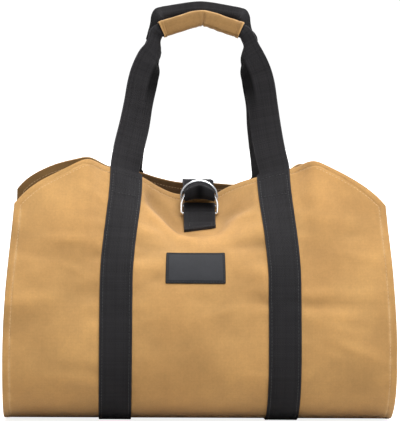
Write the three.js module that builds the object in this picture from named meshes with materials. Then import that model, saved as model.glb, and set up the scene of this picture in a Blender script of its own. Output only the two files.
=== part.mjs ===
import * as THREE from 'three';

// Firewood carrier: a canvas sheet folded into a trough, two webbing handles and a strap in two D-rings.
// Sizes are in millimetres. +Z is up, the front panel faces -Y and the fold runs along X.

const FRONT = -1;
const REAR = 1;

// Canvas sheet. A point on it is (across, along): along is measured from the middle of the base.
const SHEET_WIDTH = 480;
const SHEET_LENGTH = 960;
const CANVAS_WALL = 1.6;
const CORNER_CUT_ACROSS = 82;
const CORNER_CUT_ALONG = 65;
const CORNER_CUT_BULGE = 0.5;
const PEAK_ROUNDING = 4;
const GATHER = 12;
const REAR_GATHER = 13;
const REAR_WING_RELEASE = 0.6;
const GATHER_FROM = 230;
const STRAP_GATHER = 10;
const STRAP_GATHER_FROM = 310;
const REAR_TILT = 10;
const REAR_TILT_FROM = 125;
const REAR_TILT_OVER = 75;
const REAR_TILT_RISE_FROM = 200;
const REAR_TILT_RISE_OVER = 200;
const FRONT_SWAG = { left: 1.7, right: 0.72 };
const REAR_SWAG = { left: 1.4, right: 2 };
const REAR_SLUMP = { left: 2.5, right: 8 };
const REAR_SLUMP_FROM = 330;
const REAR_SLUMP_OVER = 60;
const TOP_SHIFT = 1.7;
const TOP_SHIFT_FROM = 250;

// Across the sheet: flat strip at the closure, the two edges of the webbing, the peak, the side edge.
const CLOSURE_FLAT = 24;
const WEB_WIDTH = 40;
const STRAP_IN = 83;
const STRAP_OUT = STRAP_IN + WEB_WIDTH;
const PEAK = SHEET_WIDTH / 2 - CORNER_CUT_ACROSS;
const SIDE = SHEET_WIDTH / 2;
const TOP = SHEET_LENGTH / 2;

// Webbing and the gap every sewn piece keeps from the canvas.
const WEB_THICK = 1.8;
const GAP = 0.4;
const UNDERSIDE = WEB_THICK + GAP;

// Lean of the cloth in degrees: 0 lies on the floor, 90 stands up, more leans inwards.
const LEAN_COLUMNS = ['along', 'centre', 'strapIn', 'strapOut', 'peak', 'wing'];
const FRONT_LEAN = [
  [0, 0, 0, 0, 0, 0],
  [97, 0, 0, 0, 0, 0],
  [218, 93, 93, 93, 93, 93],
  [300, 110, 110, 109, 107, 106],
  [345, 127, 121, 117, 112, 111],
  [375, 153, 129, 123, 115, 113],
  [420, 157, 136, 128, 116, 114],
  [450, 137, 136, 128, 116, 114],
  [480, 122, 132, 124, 115, 114],
];
const REAR_LEAN = [
  [0, 0, 0, 0, 0, 0],
  [97, 0, 0, 0, 0, 0],
  [218, 93, 93, 93, 93, 93],
  [300, 111, 111, 110, 107, 106],
  [345, 124, 120, 118, 113, 110],
  [375, 143, 127, 123, 117, 112],
  [420, 146, 131, 126, 119, 113],
  [450, 133, 130, 125, 119, 113],
  [480, 120, 126, 122, 118, 113],
];

// Rows and columns the cloth is built on. Sewn pieces use the same rows.
const BASE_ROWS = [0, 48, 97];
const CORNER_ROWS = [114, 131.5, 149, 166, 183.5, 201, 218];
const PANEL_ROWS = [245, 272, 300, 315, 330, 345, 360, 375, 390, 405, 420, 435, 450, 465, 480];
const HALF_ROWS = [...BASE_ROWS, ...CORNER_ROWS, ...PANEL_ROWS];
const WEB_THIRD = WEB_WIDTH / 3;
const SWAG_COLUMNS = [0, CLOSURE_FLAT, 43, 63];
const WEB_COLUMNS = [STRAP_IN, STRAP_IN + WEB_THIRD, STRAP_OUT - WEB_THIRD, STRAP_OUT];
const LAST_INNER = 140;
const INNER_COLUMNS = [...SWAG_COLUMNS, ...WEB_COLUMNS, LAST_INNER];
const OUTER_COLUMNS = [PEAK, 185, 212, SIDE];

// Webbing section: lengths between the lines it can bend on, from the outer edge to the inner edge.
const WEB_STRIPS = [12, 5.5, 5, 5.5, 12];

// One side of a handle from the panel to the apex. The line followed is the webbing's outer edge.
// lead and bend1 to bend4 shape the section, twist swings its inner edge back, all in degrees.
const HANDLE_COLUMNS = ['half', 'depth', 'height', 'lead', 'bend1', 'bend2', 'bend3', 'bend4', 'twist'];
const FRONT_HANDLE = [
  [107.5, 47, 342, 0, 0, 0, 0, 0, 15],
  [101.5, 37, 372, 0, 0, 0, 0, 8, 16],
  [97, 32, 398, 0, 0, 0, 2, 18, 16],
  [93, 29, 423, 0, 0, 0, 0, 18, 15],
  [89.6, 27.5, 436, 0, 0, 0, 0, 22, 14],
  [84.5, 26.5, 449, 0, 0, 0, 2, 34, 12],
  [78.3, 24.5, 461, 0, 0, 0, 12, 48, 14],
  [71, 20.5, 472, 0, 0, 14, 34, 52, 18],
  [68, 17.3, 480.8, 0, 4, 90, 90, 4, 16],
  [65, 15.5, 487, 6, 16, 80, 80, 16, 8],
  [61, 14.2, 491.4, 16, 40, 66, 66, 40, 0],
  [54.5, 13.2, 494.8, 20, 50, 60, 60, 50, 0],
  [42, 13.2, 499.2, 20, 50, 60, 60, 50, 0],
  [28, 13.2, 503.8, 20, 50, 60, 60, 50, 0],
  [13.5, 13.2, 508.3, 20, 50, 60, 60, 50, 0],
  [0, 13.2, 510.6, 20, 50, 60, 60, 50, 0],
];
const REAR_HANDLE = [
  [106, 47, 342, 0, 0, 0, 0, 0, 15],
  [100, 37, 372, 0, 0, 0, 0, 8, 16],
  [96, 32, 398, 0, 0, 0, 2, 18, 16],
  [91, 29, 423, 0, 0, 0, 0, 22, 15],
  [87, 27.5, 436, 0, 0, 0, 2, 30, 14],
  [81, 26.5, 450, 0, 0, 0, 10, 44, 12],
  [75, 24.5, 463.5, 0, 0, 0, 40, 60, 14],
  [70, 20.5, 476, 0, 4, 40, 84, 34, 20],
  [64.4, 17.5, 488, 0, 4, 90, 90, 4, 26],
  [61.2, 16, 498, 0, 4, 90, 90, 4, 36],
  [59.6, 15, 506.5, 4, 12, 84, 84, 12, 42],
  [56.4, 14, 513, 10, 26, 74, 74, 26, 34],
  [49.5, 13, 516.8, 16, 40, 66, 66, 40, 16],
  [40, 12, 519.3, 20, 50, 60, 60, 50, 4],
  [26, 12, 522, 20, 50, 60, 60, 50, 0],
  [13, 12, 524, 20, 50, 60, 60, 50, 0],
  [0, 12, 525, 20, 50, 60, 60, 50, 0],
];
const HANDLE_SHIFT = 3.5;
const HANDLE_SHIFT_FROM = 290;
const HANDLE_SHIFT_OVER = 130;
const HANDLE_KINK = 1.5;
const HANDLE_KINK_AT = 474;
const HANDLE_KINK_REACH = 16;

// Sleeve round the front grip: a squared oval tube on the handle's own stations.
const SLEEVE_STATIONS = 9;
const SLEEVE_AROUND = 16;
const SLEEVE_WALL = 1.2;
const SLEEVE_HALF_TALL = 9.3;
const SLEEVE_HALF_DEEP = 7.2;
const SLEEVE_POWER = 3.2;
const SLEEVE_DOWN = 8.45;
const SLEEVE_BACK = 1.15;

// D-rings: straight bar, two short sides, half an ellipse.
const CLOSURE_X = 1.6;
const RING_WIRE = 1.8;
const RING_HALF = 22.9;
const RING_SIDE = 10;
const RING_RISE = 21.5;
const RING_CORNER = 3;
const RING_AROUND = 8;
const RING_CORNER_STEPS = 3;
const RING_ARC_STEPS = 18;
const RING_CLEAR = 0.8;
const BACK_RING = { along: 458, tilt: 3 };
const FRONT_RING = { along: 444, tilt: -8 };

// Closure tab: webbing sewn down double, then open round both ring bars.
const TAB_WIDTH = 40;
const TAB_FROM = 409.5;
const TAB_SLANT = 5.5;
const TAB_SEWN_TO = 426;
const TAB_OPEN_FROM = 439;
const TAB_ROWS = [420, 435, 450];
const TAB_SEWN_LINE = 0.15;
const TAB_LOOP_STEPS = 8;
const TAB_RISE_REACH = 4;
const TAB_RISE_SHARE = 0.35;
const TAB_HOLLOW_FROM = TAB_SEWN_TO + 6;
const TAB_HOLLOW_POINT = 0.1;

// Closure strap: sewn part on the rear panel, then its free path. sag lowers the two edges.
// depth and height are measured from the rear or front panel's top edge, or from the top of the front
// ring's arc.
const STRAP_WIDTH = 38;
const STRAP_COLUMNS = [-1, -0.67, -0.33, 0, 0.33, 0.67, 1];
const STRAP_ROWS = [405, 420, 435, 450, 465, 480];
const STRAP_PATH = [
  { from: 'rear', depth: 0.3, height: 2.2, sag: 0 },
  { from: 'rear', depth: -2, height: 3.4, sag: 0 },
  { from: 'rear', depth: -5, height: 2.9, sag: 0 },
  { from: 'rear', depth: -14, height: -0.2, sag: 0.2 },
  { from: 'rear', depth: -26, height: -3.6, sag: 0.4 },
  { from: 'front', depth: 16, height: 4.9, sag: 0.7 },
  { from: 'front', depth: 0, height: 3.6, sag: 0.9 },
  { from: 'front', depth: -9, height: 1.2, sag: 1.6 },
  { from: 'ring', depth: 13.7, height: -8.8, sag: 2.4 },
  { from: 'ring', depth: 7.2, height: -11.6, sag: 3 },
  { from: 'ring', depth: 0.9, height: -11.7, sag: 4 },
  { from: 'ring', depth: -3, height: -8.3, sag: 5.5 },
  { from: 'ring', depth: -3.9, height: -3.7, sag: 6.5 },
  { from: 'ring', depth: -3.7, height: 0, sag: 7 },
  { from: 'ring', depth: -2.6, height: 2.6, sag: 7.2 },
  { from: 'ring', depth: 0, height: 3.7, sag: 7.2 },
  { from: 'ring', depth: 2.6, height: 2.6, sag: 7.4 },
  { from: 'ring', depth: 6.7, height: 1.2, sag: 7.8 },
  { from: 'ring', depth: 12.7, height: -0.1, sag: 8 },
  { from: 'ring', depth: 18.7, height: 0.5, sag: 7 },
  { from: 'front', depth: -6.5, height: 9.8, sag: 4.5 },
  { from: 'front', depth: -1.5, height: 14.2, sag: 2.4 },
  { from: 'front', depth: 2.5, height: 18.6, sag: 1 },
];

// Label patch, blank.
const LABEL_THICK = 1.2;
const LABEL_COLUMNS = [-43, -CLOSURE_FLAT, 0, CLOSURE_FLAT, 30.7];
const LABEL_ROWS = [312.5, 315, 330, 345, 356];

const canvasMaterial = new THREE.MeshStandardMaterial({ name: 'canvas', color: 0xc4985c, roughness: 0.9 });
const webbingMaterial = new THREE.MeshStandardMaterial({ name: 'webbing', color: 0x2f2f32, roughness: 0.8 });
const ringMaterial = new THREE.MeshStandardMaterial({
  name: 'ring_steel',
  color: 0xc9cbcd,
  roughness: 0.25,
  metalness: 1,
});
const labelMaterial = new THREE.MeshStandardMaterial({ name: 'label', color: 0x44464d, roughness: 0.7 });

function mix(from, to, share) {
  return from + (to - from) * share;
}

function smooth(value) {
  const share = Math.min(Math.max(value, 0), 1);
  return share * share * (3 - 2 * share);
}

function lookUp(table, columns, name, at) {
  const column = columns.indexOf(name);
  let row = 0;
  while (row < table.length - 2 && table[row + 1][0] < at) {
    row += 1;
  }
  const share = (at - table[row][0]) / (table[row + 1][0] - table[row][0]);
  return mix(table[row][column], table[row + 1][column], Math.min(share, 1));
}

// Extra lean at the rear straps, where the rear panel slumps inwards.
function slumpAt(off, along, hand) {
  const near = smooth((off - CLOSURE_FLAT) / (STRAP_IN - CLOSURE_FLAT));
  const past = smooth((off - STRAP_OUT) / (PEAK - STRAP_OUT));
  return REAR_SLUMP[hand] * near * (1 - past) * smooth((along - REAR_SLUMP_FROM) / REAR_SLUMP_OVER);
}

// Lean of the cloth at one point, blended between the named columns on either side of it.
function leanAt(across, along, side) {
  const off = Math.abs(across);
  const hand = across < 0 ? 'left' : 'right';
  const read = (name) => lookUp(side === FRONT ? FRONT_LEAN : REAR_LEAN, LEAN_COLUMNS, name, along);
  const slump = side === REAR ? slumpAt(off, along, hand) : 0;
  if (off <= CLOSURE_FLAT) {
    return read('centre');
  }
  if (off < STRAP_IN) {
    const share = (off - CLOSURE_FLAT) / (STRAP_IN - CLOSURE_FLAT);
    const swag = side === FRONT ? FRONT_SWAG[hand] : REAR_SWAG[hand];
    return slump + mix(read('centre'), read('strapIn'), share ** swag);
  }
  if (off < STRAP_OUT) {
    return slump + mix(read('strapIn'), read('strapOut'), (off - STRAP_IN) / WEB_WIDTH);
  }
  if (off < PEAK) {
    return slump + mix(read('strapOut'), read('peak'), smooth((off - STRAP_OUT) / (PEAK - STRAP_OUT)));
  }
  return mix(read('peak'), read('wing'), smooth((off - PEAK) / (SIDE - PEAK)));
}

// Point of the canvas's outer face: the lean is summed along the sheet from the middle of the base.
function clothPoint(across, along, side) {
  const off = Math.abs(across);
  if (off > STRAP_IN && off < STRAP_OUT) {
    const share = (off - STRAP_IN) / WEB_WIDTH;
    const inner = clothPoint(Math.sign(across) * STRAP_IN, along, side);
    return inner.lerp(clothPoint(Math.sign(across) * STRAP_OUT, along, side), share);
  }
  const steps = 160;
  const step = along / steps;
  let depth = 0;
  let height = UNDERSIDE;
  for (let i = 0; i < steps; i += 1) {
    const lean = THREE.MathUtils.degToRad(leanAt(across, (i + 0.5) * step, side));
    depth += Math.cos(lean) * step;
    height += Math.sin(lean) * step;
  }
  const drawnIn = (size, from) => size * smooth((along - from) / (TOP - from));
  const wingGather = drawnIn(side === FRONT ? GATHER : REAR_GATHER, GATHER_FROM);
  const strapGather = side === FRONT ? drawnIn(STRAP_GATHER, STRAP_GATHER_FROM) : wingGather;
  const gather = mix(strapGather, wingGather, smooth((off - STRAP_OUT) / (PEAK - STRAP_OUT)));
  const release = side === REAR ? REAR_WING_RELEASE * smooth((off - PEAK) / (SIDE - PEAK)) : 0;
  const fade = 1 - smooth((across - STRAP_OUT) / (SIDE - STRAP_OUT));
  const shift = TOP_SHIFT * fade * smooth((along - TOP_SHIFT_FROM) / (TOP - TOP_SHIFT_FROM));
  const x = across + shift - Math.sign(across) * gather * (1 - release) * Math.min(off / STRAP_IN, 1);
  if (side === REAR) {
    const wing = smooth((off - REAR_TILT_FROM) / REAR_TILT_OVER);
    const rise = smooth((along - REAR_TILT_RISE_FROM) / REAR_TILT_RISE_OVER);
    height -= REAR_TILT * Math.sign(across) * wing * rise;
  }
  return new THREE.Vector3(x, side * depth, height);
}

// Outward normal of the canvas from two short differences on its face.
function clothNormal(across, along, side) {
  const step = 1.5;
  const low = Math.max(along - step, 0);
  const acrossWay = clothPoint(across + step, along, side).sub(clothPoint(across - step, along, side));
  const alongWay = clothPoint(across, along + step, side).sub(clothPoint(across, low, side));
  return acrossWay.cross(alongWay).multiplyScalar(-side).normalize();
}

function clothOffset(across, along, side, away) {
  return clothPoint(across, along, side).addScaledVector(clothNormal(across, along, side), away);
}

// Turns all triangles round if the closed mesh is inside out.
function faceOutwards(geometry) {
  const plain = geometry.index ? geometry.toNonIndexed() : geometry;
  const points = plain.getAttribute('position');
  const corners = [new THREE.Vector3(), new THREE.Vector3(), new THREE.Vector3()];
  let volume = 0;
  for (let i = 0; i < points.count; i += 3) {
    corners.forEach((corner, k) => corner.fromBufferAttribute(points, i + k));
    volume += corners[0].dot(corners[1].clone().cross(corners[2]));
  }
  if (volume < 0) {
    for (let i = 0; i < points.count; i += 3) {
      const second = new THREE.Vector3().fromBufferAttribute(points, i + 1);
      const third = new THREE.Vector3().fromBufferAttribute(points, i + 2);
      points.setXYZ(i + 1, third.x, third.y, third.z);
      points.setXYZ(i + 2, second.x, second.y, second.z);
    }
  }
  plain.computeVertexNormals();
  return plain;
}

// Mesh with two triangles for each four-cornered face.
function meshFromQuads(quads) {
  const values = [];
  for (const [a, b, c, d] of quads) {
    for (const corner of [a, b, c, a, c, d]) {
      values.push(corner.x, corner.y, corner.z);
    }
  }
  const geometry = new THREE.BufferGeometry();
  geometry.setAttribute('position', new THREE.Float32BufferAttribute(values, 3));
  return faceOutwards(geometry);
}

// Sheet with an outer face, an inner face and a rim. around joins the last column to the first.
function closedWall(outer, inner, around = false) {
  const quads = [];
  const rows = outer.length;
  const columns = outer[0].length;
  const spans = around ? columns : columns - 1;
  for (let i = 0; i < rows - 1; i += 1) {
    for (let j = 0; j < spans; j += 1) {
      const k = (j + 1) % columns;
      quads.push([outer[i][j], outer[i + 1][j], outer[i + 1][k], outer[i][k]]);
      quads.push([inner[i][j], inner[i][k], inner[i + 1][k], inner[i + 1][j]]);
    }
    if (!around) {
      const e = columns - 1;
      quads.push([outer[i][0], inner[i][0], inner[i + 1][0], outer[i + 1][0]]);
      quads.push([outer[i][e], outer[i + 1][e], inner[i + 1][e], inner[i][e]]);
    }
  }
  for (let j = 0; j < spans; j += 1) {
    const k = (j + 1) % columns;
    const e = rows - 1;
    quads.push([outer[0][j], outer[0][k], inner[0][k], inner[0][j]]);
    quads.push([outer[e][j], inner[e][j], inner[e][k], outer[e][k]]);
  }
  return meshFromQuads(quads);
}

// Half width of the sheet at a row, narrowing over the cut corner.
function halfWidth(along) {
  const share = Math.max((along - (TOP - CORNER_CUT_ALONG)) / CORNER_CUT_ALONG, 0);
  return SIDE - CORNER_CUT_ACROSS * share * (1 - CORNER_CUT_BULGE * (1 - share));
}

function buildCanvas() {
  const halfColumns = [...INNER_COLUMNS, ...OUTER_COLUMNS];
  const columns = [...halfColumns.slice(1).reverse().map((off) => -off), ...halfColumns];
  const frontRows = [...HALF_ROWS].reverse().map((along) => ({ along, side: FRONT }));
  const rearRows = HALF_ROWS.slice(1).map((along) => ({ along, side: REAR }));
  const outer = [];
  const inner = [];
  for (const { along, side } of [...frontRows, ...rearRows]) {
    const nearTop = smooth((along - (TOP - CORNER_CUT_ALONG)) / CORNER_CUT_ALONG);
    const spots = columns.map((column) => {
      const off = Math.abs(column);
      const squeeze = (halfWidth(along) - LAST_INNER) / (SIDE - LAST_INNER);
      const fitted = off > LAST_INNER ? LAST_INNER + (off - LAST_INNER) * squeeze : off;
      const drop = nearTop * PEAK_ROUNDING * Math.max((fitted - STRAP_OUT) / (PEAK - STRAP_OUT), 0) ** 4;
      return { across: Math.sign(column) * fitted, along: along - Math.min(drop, PEAK_ROUNDING) };
    });
    outer.push(spots.map((spot) => clothPoint(spot.across, spot.along, side)));
    inner.push(spots.map((spot) => clothOffset(spot.across, spot.along, side, -CANVAS_WALL)));
  }
  return closedWall(outer, inner);
}

// Middle line of the webbing's section and the mitred offsets to its two faces, in (across, out) pairs.
function webSection(lead, bends) {
  const angles = [lead];
  for (const bend of bends) {
    angles.push(angles[angles.length - 1] - bend);
  }
  const turns = angles.map((angle) => THREE.MathUtils.degToRad(angle));
  const points = [[0, 0]];
  WEB_STRIPS.forEach((length, i) => {
    const [a, n] = points[i];
    points.push([a + Math.cos(turns[i]) * length, n + Math.sin(turns[i]) * length]);
  });
  return points.map((point, i) => {
    const before = turns[Math.max(i - 1, 0)];
    const after = turns[Math.min(i, turns.length - 1)];
    const way = (before + after) / 2;
    const reach = WEB_THICK / 2 / Math.cos((after - before) / 2);
    return { point, offset: [-Math.sin(way) * reach, Math.cos(way) * reach] };
  });
}

// Stations of one webbing length: where its outer edge runs, which way is inwards, which way is out.
function webStations(side, handle) {
  const read = (row, name) => row[HANDLE_COLUMNS.indexOf(name)];
  const flat = { lead: 0, bends: [0, 0, 0, 0] };
  const panel = (hand) => HALF_ROWS.map((along) => {
    const at = Math.max(along, 1);
    const outerEdge = clothPoint(hand * STRAP_OUT, at, side);
    const innerEdge = clothPoint(hand * STRAP_IN, at, side);
    const out = clothNormal(hand * (STRAP_IN + WEB_WIDTH / 2), at, side);
    const inwards = innerEdge.clone().sub(outerEdge).divideScalar(WEB_WIDTH);
    return { edge: outerEdge.addScaledVector(out, GAP + WEB_THICK / 2), inwards, out, ...flat };
  });
  const free = (hand, row) => {
    const height = read(row, 'height');
    const kink = HANDLE_KINK * smooth(1 - Math.abs(height - HANDLE_KINK_AT) / HANDLE_KINK_REACH);
    const shift = kink + HANDLE_SHIFT * smooth((height - HANDLE_SHIFT_FROM) / HANDLE_SHIFT_OVER);
    const edge = new THREE.Vector3(hand * read(row, 'half') + shift, side * read(row, 'depth'), height);
    const bends = ['bend1', 'bend2', 'bend3', 'bend4'].map((name) => read(row, name));
    return { edge, lead: read(row, 'lead'), bends, twist: THREE.MathUtils.degToRad(read(row, 'twist')) };
  };
  const left = handle.map((row) => free(-1, row));
  const right = handle.slice(0, -1).reverse().map((row) => free(1, row));
  const stations = [...panel(-1), ...left, ...right, ...panel(1).reverse()];
  stations.forEach((station, i) => {
    if (station.twist === undefined) {
      return;
    }
    const along = stations[i + 1].edge.clone().sub(stations[i - 1].edge).normalize();
    const out = new THREE.Vector3(0, side, 0);
    out.addScaledVector(along, -out.dot(along)).normalize();
    const inwards = along.clone().cross(out).multiplyScalar(-side);
    const turn = Math.cos(station.twist);
    const swing = Math.sin(station.twist);
    station.inwards = inwards.clone().multiplyScalar(turn).addScaledVector(out, -swing);
    station.out = out.clone().multiplyScalar(turn).addScaledVector(inwards, swing);
  });
  return stations;
}

function buildWebbing(stations) {
  const outer = [];
  const inner = [];
  for (const { edge, inwards, out, lead, bends } of stations) {
    const section = webSection(lead, bends);
    const place = (a, n) => edge.clone().addScaledVector(inwards, a).addScaledVector(out, n);
    outer.push(section.map(({ point, offset }) => place(point[0] + offset[0], point[1] + offset[1])));
    inner.push(section.map(({ point, offset }) => place(point[0] - offset[0], point[1] - offset[1])));
  }
  return closedWall(outer, inner);
}

// Sleeve on the middle stations of the front webbing.
function buildSleeve(stations) {
  const first = (stations.length - SLEEVE_STATIONS) / 2;
  const ring = ({ edge, inwards, out }, grow) => {
    const centre = edge.clone().addScaledVector(inwards, SLEEVE_DOWN).addScaledVector(out, -SLEEVE_BACK);
    return Array.from({ length: SLEEVE_AROUND }, (_, i) => {
      const turn = (2 * Math.PI * i) / SLEEVE_AROUND;
      const squared = (value) => Math.sign(value) * Math.abs(value) ** (2 / SLEEVE_POWER);
      const tall = squared(Math.cos(turn)) * (SLEEVE_HALF_TALL + grow);
      const deep = squared(Math.sin(turn)) * (SLEEVE_HALF_DEEP + grow);
      return centre.clone().addScaledVector(inwards, tall).addScaledVector(out, deep);
    });
  };
  const used = stations.slice(first, first + SLEEVE_STATIONS);
  const outer = used.map((station) => ring(station, SLEEVE_WALL));
  const inner = used.map((station) => ring(station, 0));
  return closedWall(outer, inner, true);
}

// Line of a D-ring in its own plane: (x, up) points round the bar, corners, sides and arc.
function ringLine() {
  const line = [];
  const bend = (cx, cy, rx, ry, from, to, count) => {
    for (let i = 0; i <= count; i += 1) {
      const turn = THREE.MathUtils.degToRad(mix(from, to, i / count));
      line.push([cx + rx * Math.cos(turn), cy + ry * Math.sin(turn)]);
    }
  };
  const inset = RING_HALF - RING_CORNER;
  bend(-inset, RING_CORNER, RING_CORNER, RING_CORNER, 180, 270, RING_CORNER_STEPS);
  bend(inset, RING_CORNER, RING_CORNER, RING_CORNER, 270, 360, RING_CORNER_STEPS);
  bend(0, RING_SIDE, RING_HALF, RING_RISE, 0, 180, RING_ARC_STEPS);
  return line;
}

// Where a ring's bar lies in the tab's loop and which way the ring stands up from it.
function ringPlace({ along, tilt }) {
  const away = GAP + WEB_THICK + RING_CLEAR + RING_WIRE;
  const bar = clothOffset(0, along, FRONT, away);
  const turn = THREE.MathUtils.degToRad(tilt);
  const up = new THREE.Vector3(0, Math.sin(turn), Math.cos(turn));
  const facing = new THREE.Vector3(0, -Math.cos(turn), Math.sin(turn));
  return { bar, up, facing };
}

function buildRing(ring) {
  const { bar, up, facing } = ringPlace(ring);
  const line = ringLine();
  const loops = line.map(([x, rise], i) => {
    const next = line[(i + 1) % line.length];
    const last = line[(i + line.length - 1) % line.length];
    const way = Math.atan2(next[1] - last[1], next[0] - last[0]);
    const side = new THREE.Vector3(-Math.sin(way), 0, 0).addScaledVector(up, Math.cos(way));
    const centre = bar.clone().addScaledVector(up, rise);
    centre.x = CLOSURE_X + x;
    return Array.from({ length: RING_AROUND }, (_, k) => {
      const spin = (2 * Math.PI * (k + 0.5)) / RING_AROUND;
      const point = centre.clone().addScaledVector(side, RING_WIRE * Math.cos(spin));
      return point.addScaledVector(facing, RING_WIRE * Math.sin(spin));
    });
  });
  const quads = [];
  loops.forEach((loop, i) => {
    const next = loops[(i + 1) % loops.length];
    loop.forEach((point, k) => {
      const j = (k + 1) % RING_AROUND;
      quads.push([point, next[k], next[j], loop[j]]);
    });
  });
  return meshFromQuads(quads);
}

// Tab as a profile in (along, away from the canvas), extruded across and laid on the cloth.
function buildTab() {
  const back = GAP;
  const backFace = GAP + WEB_THICK;
  const barLevel = backFace + RING_CLEAR + RING_WIRE;
  const frontFace = barLevel + RING_WIRE + RING_CLEAR;
  const front = frontFace + WEB_THICK;
  const sewn = backFace + TAB_SEWN_LINE + WEB_THICK;
  const loopAt = BACK_RING.along;
  const lastRow = TAB_ROWS[TAB_ROWS.length - 1];
  const roundEnd = (path, low, high) => {
    const reach = (high - low) / 2;
    for (let i = 1; i <= TAB_LOOP_STEPS; i += 1) {
      const turn = Math.PI * (i / TAB_LOOP_STEPS - 0.5);
      path.lineTo(loopAt + reach * Math.cos(turn), low + reach + reach * Math.sin(turn));
    }
  };
  const outline = new THREE.Shape();
  outline.moveTo(TAB_FROM, back);
  [...TAB_ROWS, loopAt].forEach((along) => outline.lineTo(along, back));
  roundEnd(outline, back, front);
  outline.lineTo(lastRow, front);
  outline.lineTo(TAB_OPEN_FROM, front);
  outline.lineTo(TAB_SEWN_TO + TAB_RISE_REACH, mix(sewn, front, TAB_RISE_SHARE));
  outline.lineTo(TAB_SEWN_TO - TAB_RISE_REACH, sewn);
  outline.lineTo(TAB_FROM, sewn);
  const hollow = new THREE.Path();
  hollow.moveTo(TAB_HOLLOW_FROM, backFace + TAB_HOLLOW_POINT);
  [...TAB_ROWS.slice(1), loopAt].forEach((along) => hollow.lineTo(along, backFace));
  roundEnd(hollow, backFace, frontFace);
  hollow.lineTo(lastRow, frontFace);
  hollow.lineTo(TAB_OPEN_FROM + 1, frontFace);
  outline.holes.push(hollow);
  const geometry = new THREE.ExtrudeGeometry(outline, { depth: TAB_WIDTH, bevelEnabled: false, steps: 1 });
  const points = geometry.getAttribute('position');
  for (let i = 0; i < points.count; i += 1) {
    const share = points.getZ(i) / TAB_WIDTH - 0.5;
    const slant = TAB_SLANT * share * (1 - smooth((points.getX(i) - TAB_FROM) / (TAB_SEWN_TO - TAB_FROM)));
    const spot = clothOffset(0, points.getX(i) + slant, FRONT, points.getY(i));
    points.setXYZ(i, CLOSURE_X + share * TAB_WIDTH, spot.y, spot.z);
  }
  return faceOutwards(geometry);
}

function buildStrap() {
  const middle = GAP + WEB_THICK / 2;
  const sewn = STRAP_ROWS.map((along) => {
    const spot = clothOffset(0, along, REAR, middle);
    return [spot.y, spot.z, 0];
  });
  const { bar, up } = ringPlace(FRONT_RING);
  const anchors = {
    rear: clothPoint(0, TOP, REAR),
    front: clothPoint(0, TOP, FRONT),
    ring: bar.addScaledVector(up, RING_SIDE + RING_RISE),
  };
  const free = STRAP_PATH.map(({ from, depth, height, sag }) => [
    anchors[from].y + depth,
    anchors[from].z + height,
    sag,
  ]);
  const path = [...sewn, ...free];
  const outer = [];
  const inner = [];
  path.forEach(([depth, height, sag], i) => {
    const next = path[Math.min(i + 1, path.length - 1)];
    const last = path[Math.max(i - 1, 0)];
    const way = Math.atan2(next[1] - last[1], next[0] - last[0]);
    const place = (share, away) => new THREE.Vector3(
      CLOSURE_X + (share * STRAP_WIDTH) / 2,
      depth + Math.sin(way) * away,
      height - Math.cos(way) * away - sag * share * share,
    );
    outer.push(STRAP_COLUMNS.map((share) => place(share, WEB_THICK / 2)));
    inner.push(STRAP_COLUMNS.map((share) => place(share, -WEB_THICK / 2)));
  });
  return closedWall(outer, inner);
}

function buildLabel() {
  const row = (along, away) => LABEL_COLUMNS.map((across) => clothOffset(across, along, FRONT, away));
  const face = (away) => LABEL_ROWS.map((along) => row(along, away));
  return closedWall(face(GAP + LABEL_THICK), face(GAP));
}

function piece(name, geometry, material) {
  const mesh = new THREE.Mesh(geometry, material);
  mesh.name = name;
  return mesh;
}

const frontStations = webStations(FRONT, FRONT_HANDLE);
const rearStations = webStations(REAR, REAR_HANDLE);

const carrier = new THREE.Group();
carrier.name = 'firewood_carrier';
carrier.add(piece('canvas_sheet', buildCanvas(), canvasMaterial));
carrier.add(piece('webbing_front', buildWebbing(frontStations), webbingMaterial));
carrier.add(piece('webbing_rear', buildWebbing(rearStations), webbingMaterial.clone()));
carrier.add(piece('grip_sleeve', buildSleeve(frontStations), canvasMaterial.clone()));
carrier.add(piece('closure_tab', buildTab(), webbingMaterial.clone()));
carrier.add(piece('d_ring_back', buildRing(BACK_RING), ringMaterial));
carrier.add(piece('d_ring_front', buildRing(FRONT_RING), ringMaterial.clone()));
carrier.add(piece('closure_strap', buildStrap(), webbingMaterial.clone()));
carrier.add(piece('label_patch', buildLabel(), labelMaterial));

export default carrier;
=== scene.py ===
import math

import bpy
import numpy as np
from mathutils import Matrix


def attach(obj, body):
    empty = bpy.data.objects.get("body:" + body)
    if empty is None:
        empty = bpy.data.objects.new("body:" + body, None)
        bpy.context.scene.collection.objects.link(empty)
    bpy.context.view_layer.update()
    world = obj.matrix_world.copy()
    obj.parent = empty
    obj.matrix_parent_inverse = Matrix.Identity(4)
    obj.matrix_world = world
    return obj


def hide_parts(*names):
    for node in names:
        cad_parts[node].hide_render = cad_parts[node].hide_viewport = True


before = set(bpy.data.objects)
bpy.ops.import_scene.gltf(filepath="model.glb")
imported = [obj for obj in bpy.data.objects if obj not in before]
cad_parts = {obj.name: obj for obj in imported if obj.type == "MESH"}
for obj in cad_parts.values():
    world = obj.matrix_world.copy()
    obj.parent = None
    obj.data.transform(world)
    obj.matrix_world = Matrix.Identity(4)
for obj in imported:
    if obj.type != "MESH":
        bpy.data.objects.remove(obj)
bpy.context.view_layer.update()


# Canvas sheet: one length of heavy cotton duck with its four corners cut off and a hem turned in all round.
# It is folded into a trough that stands on its middle; both ends lean in over the logs,
# and the closure strap pulls the middles of the two ends together so that the front sags into a swag.
MM = 0.001
HALF_WIDTH = 240.0
HALF_LENGTH = 480.0
CANVAS_WALL = 1.6
CUT_ACROSS = 82.0
CUT_ALONG = 65.0
CUT_BULGE = 0.5
PEAK_ROUNDING = 4.0
PEAK_ROUNDING_POWER = 4
CLOSURE_FLAT = 24.0
STRAP_IN = 83.0
STRAP_OUT = 123.0
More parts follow.
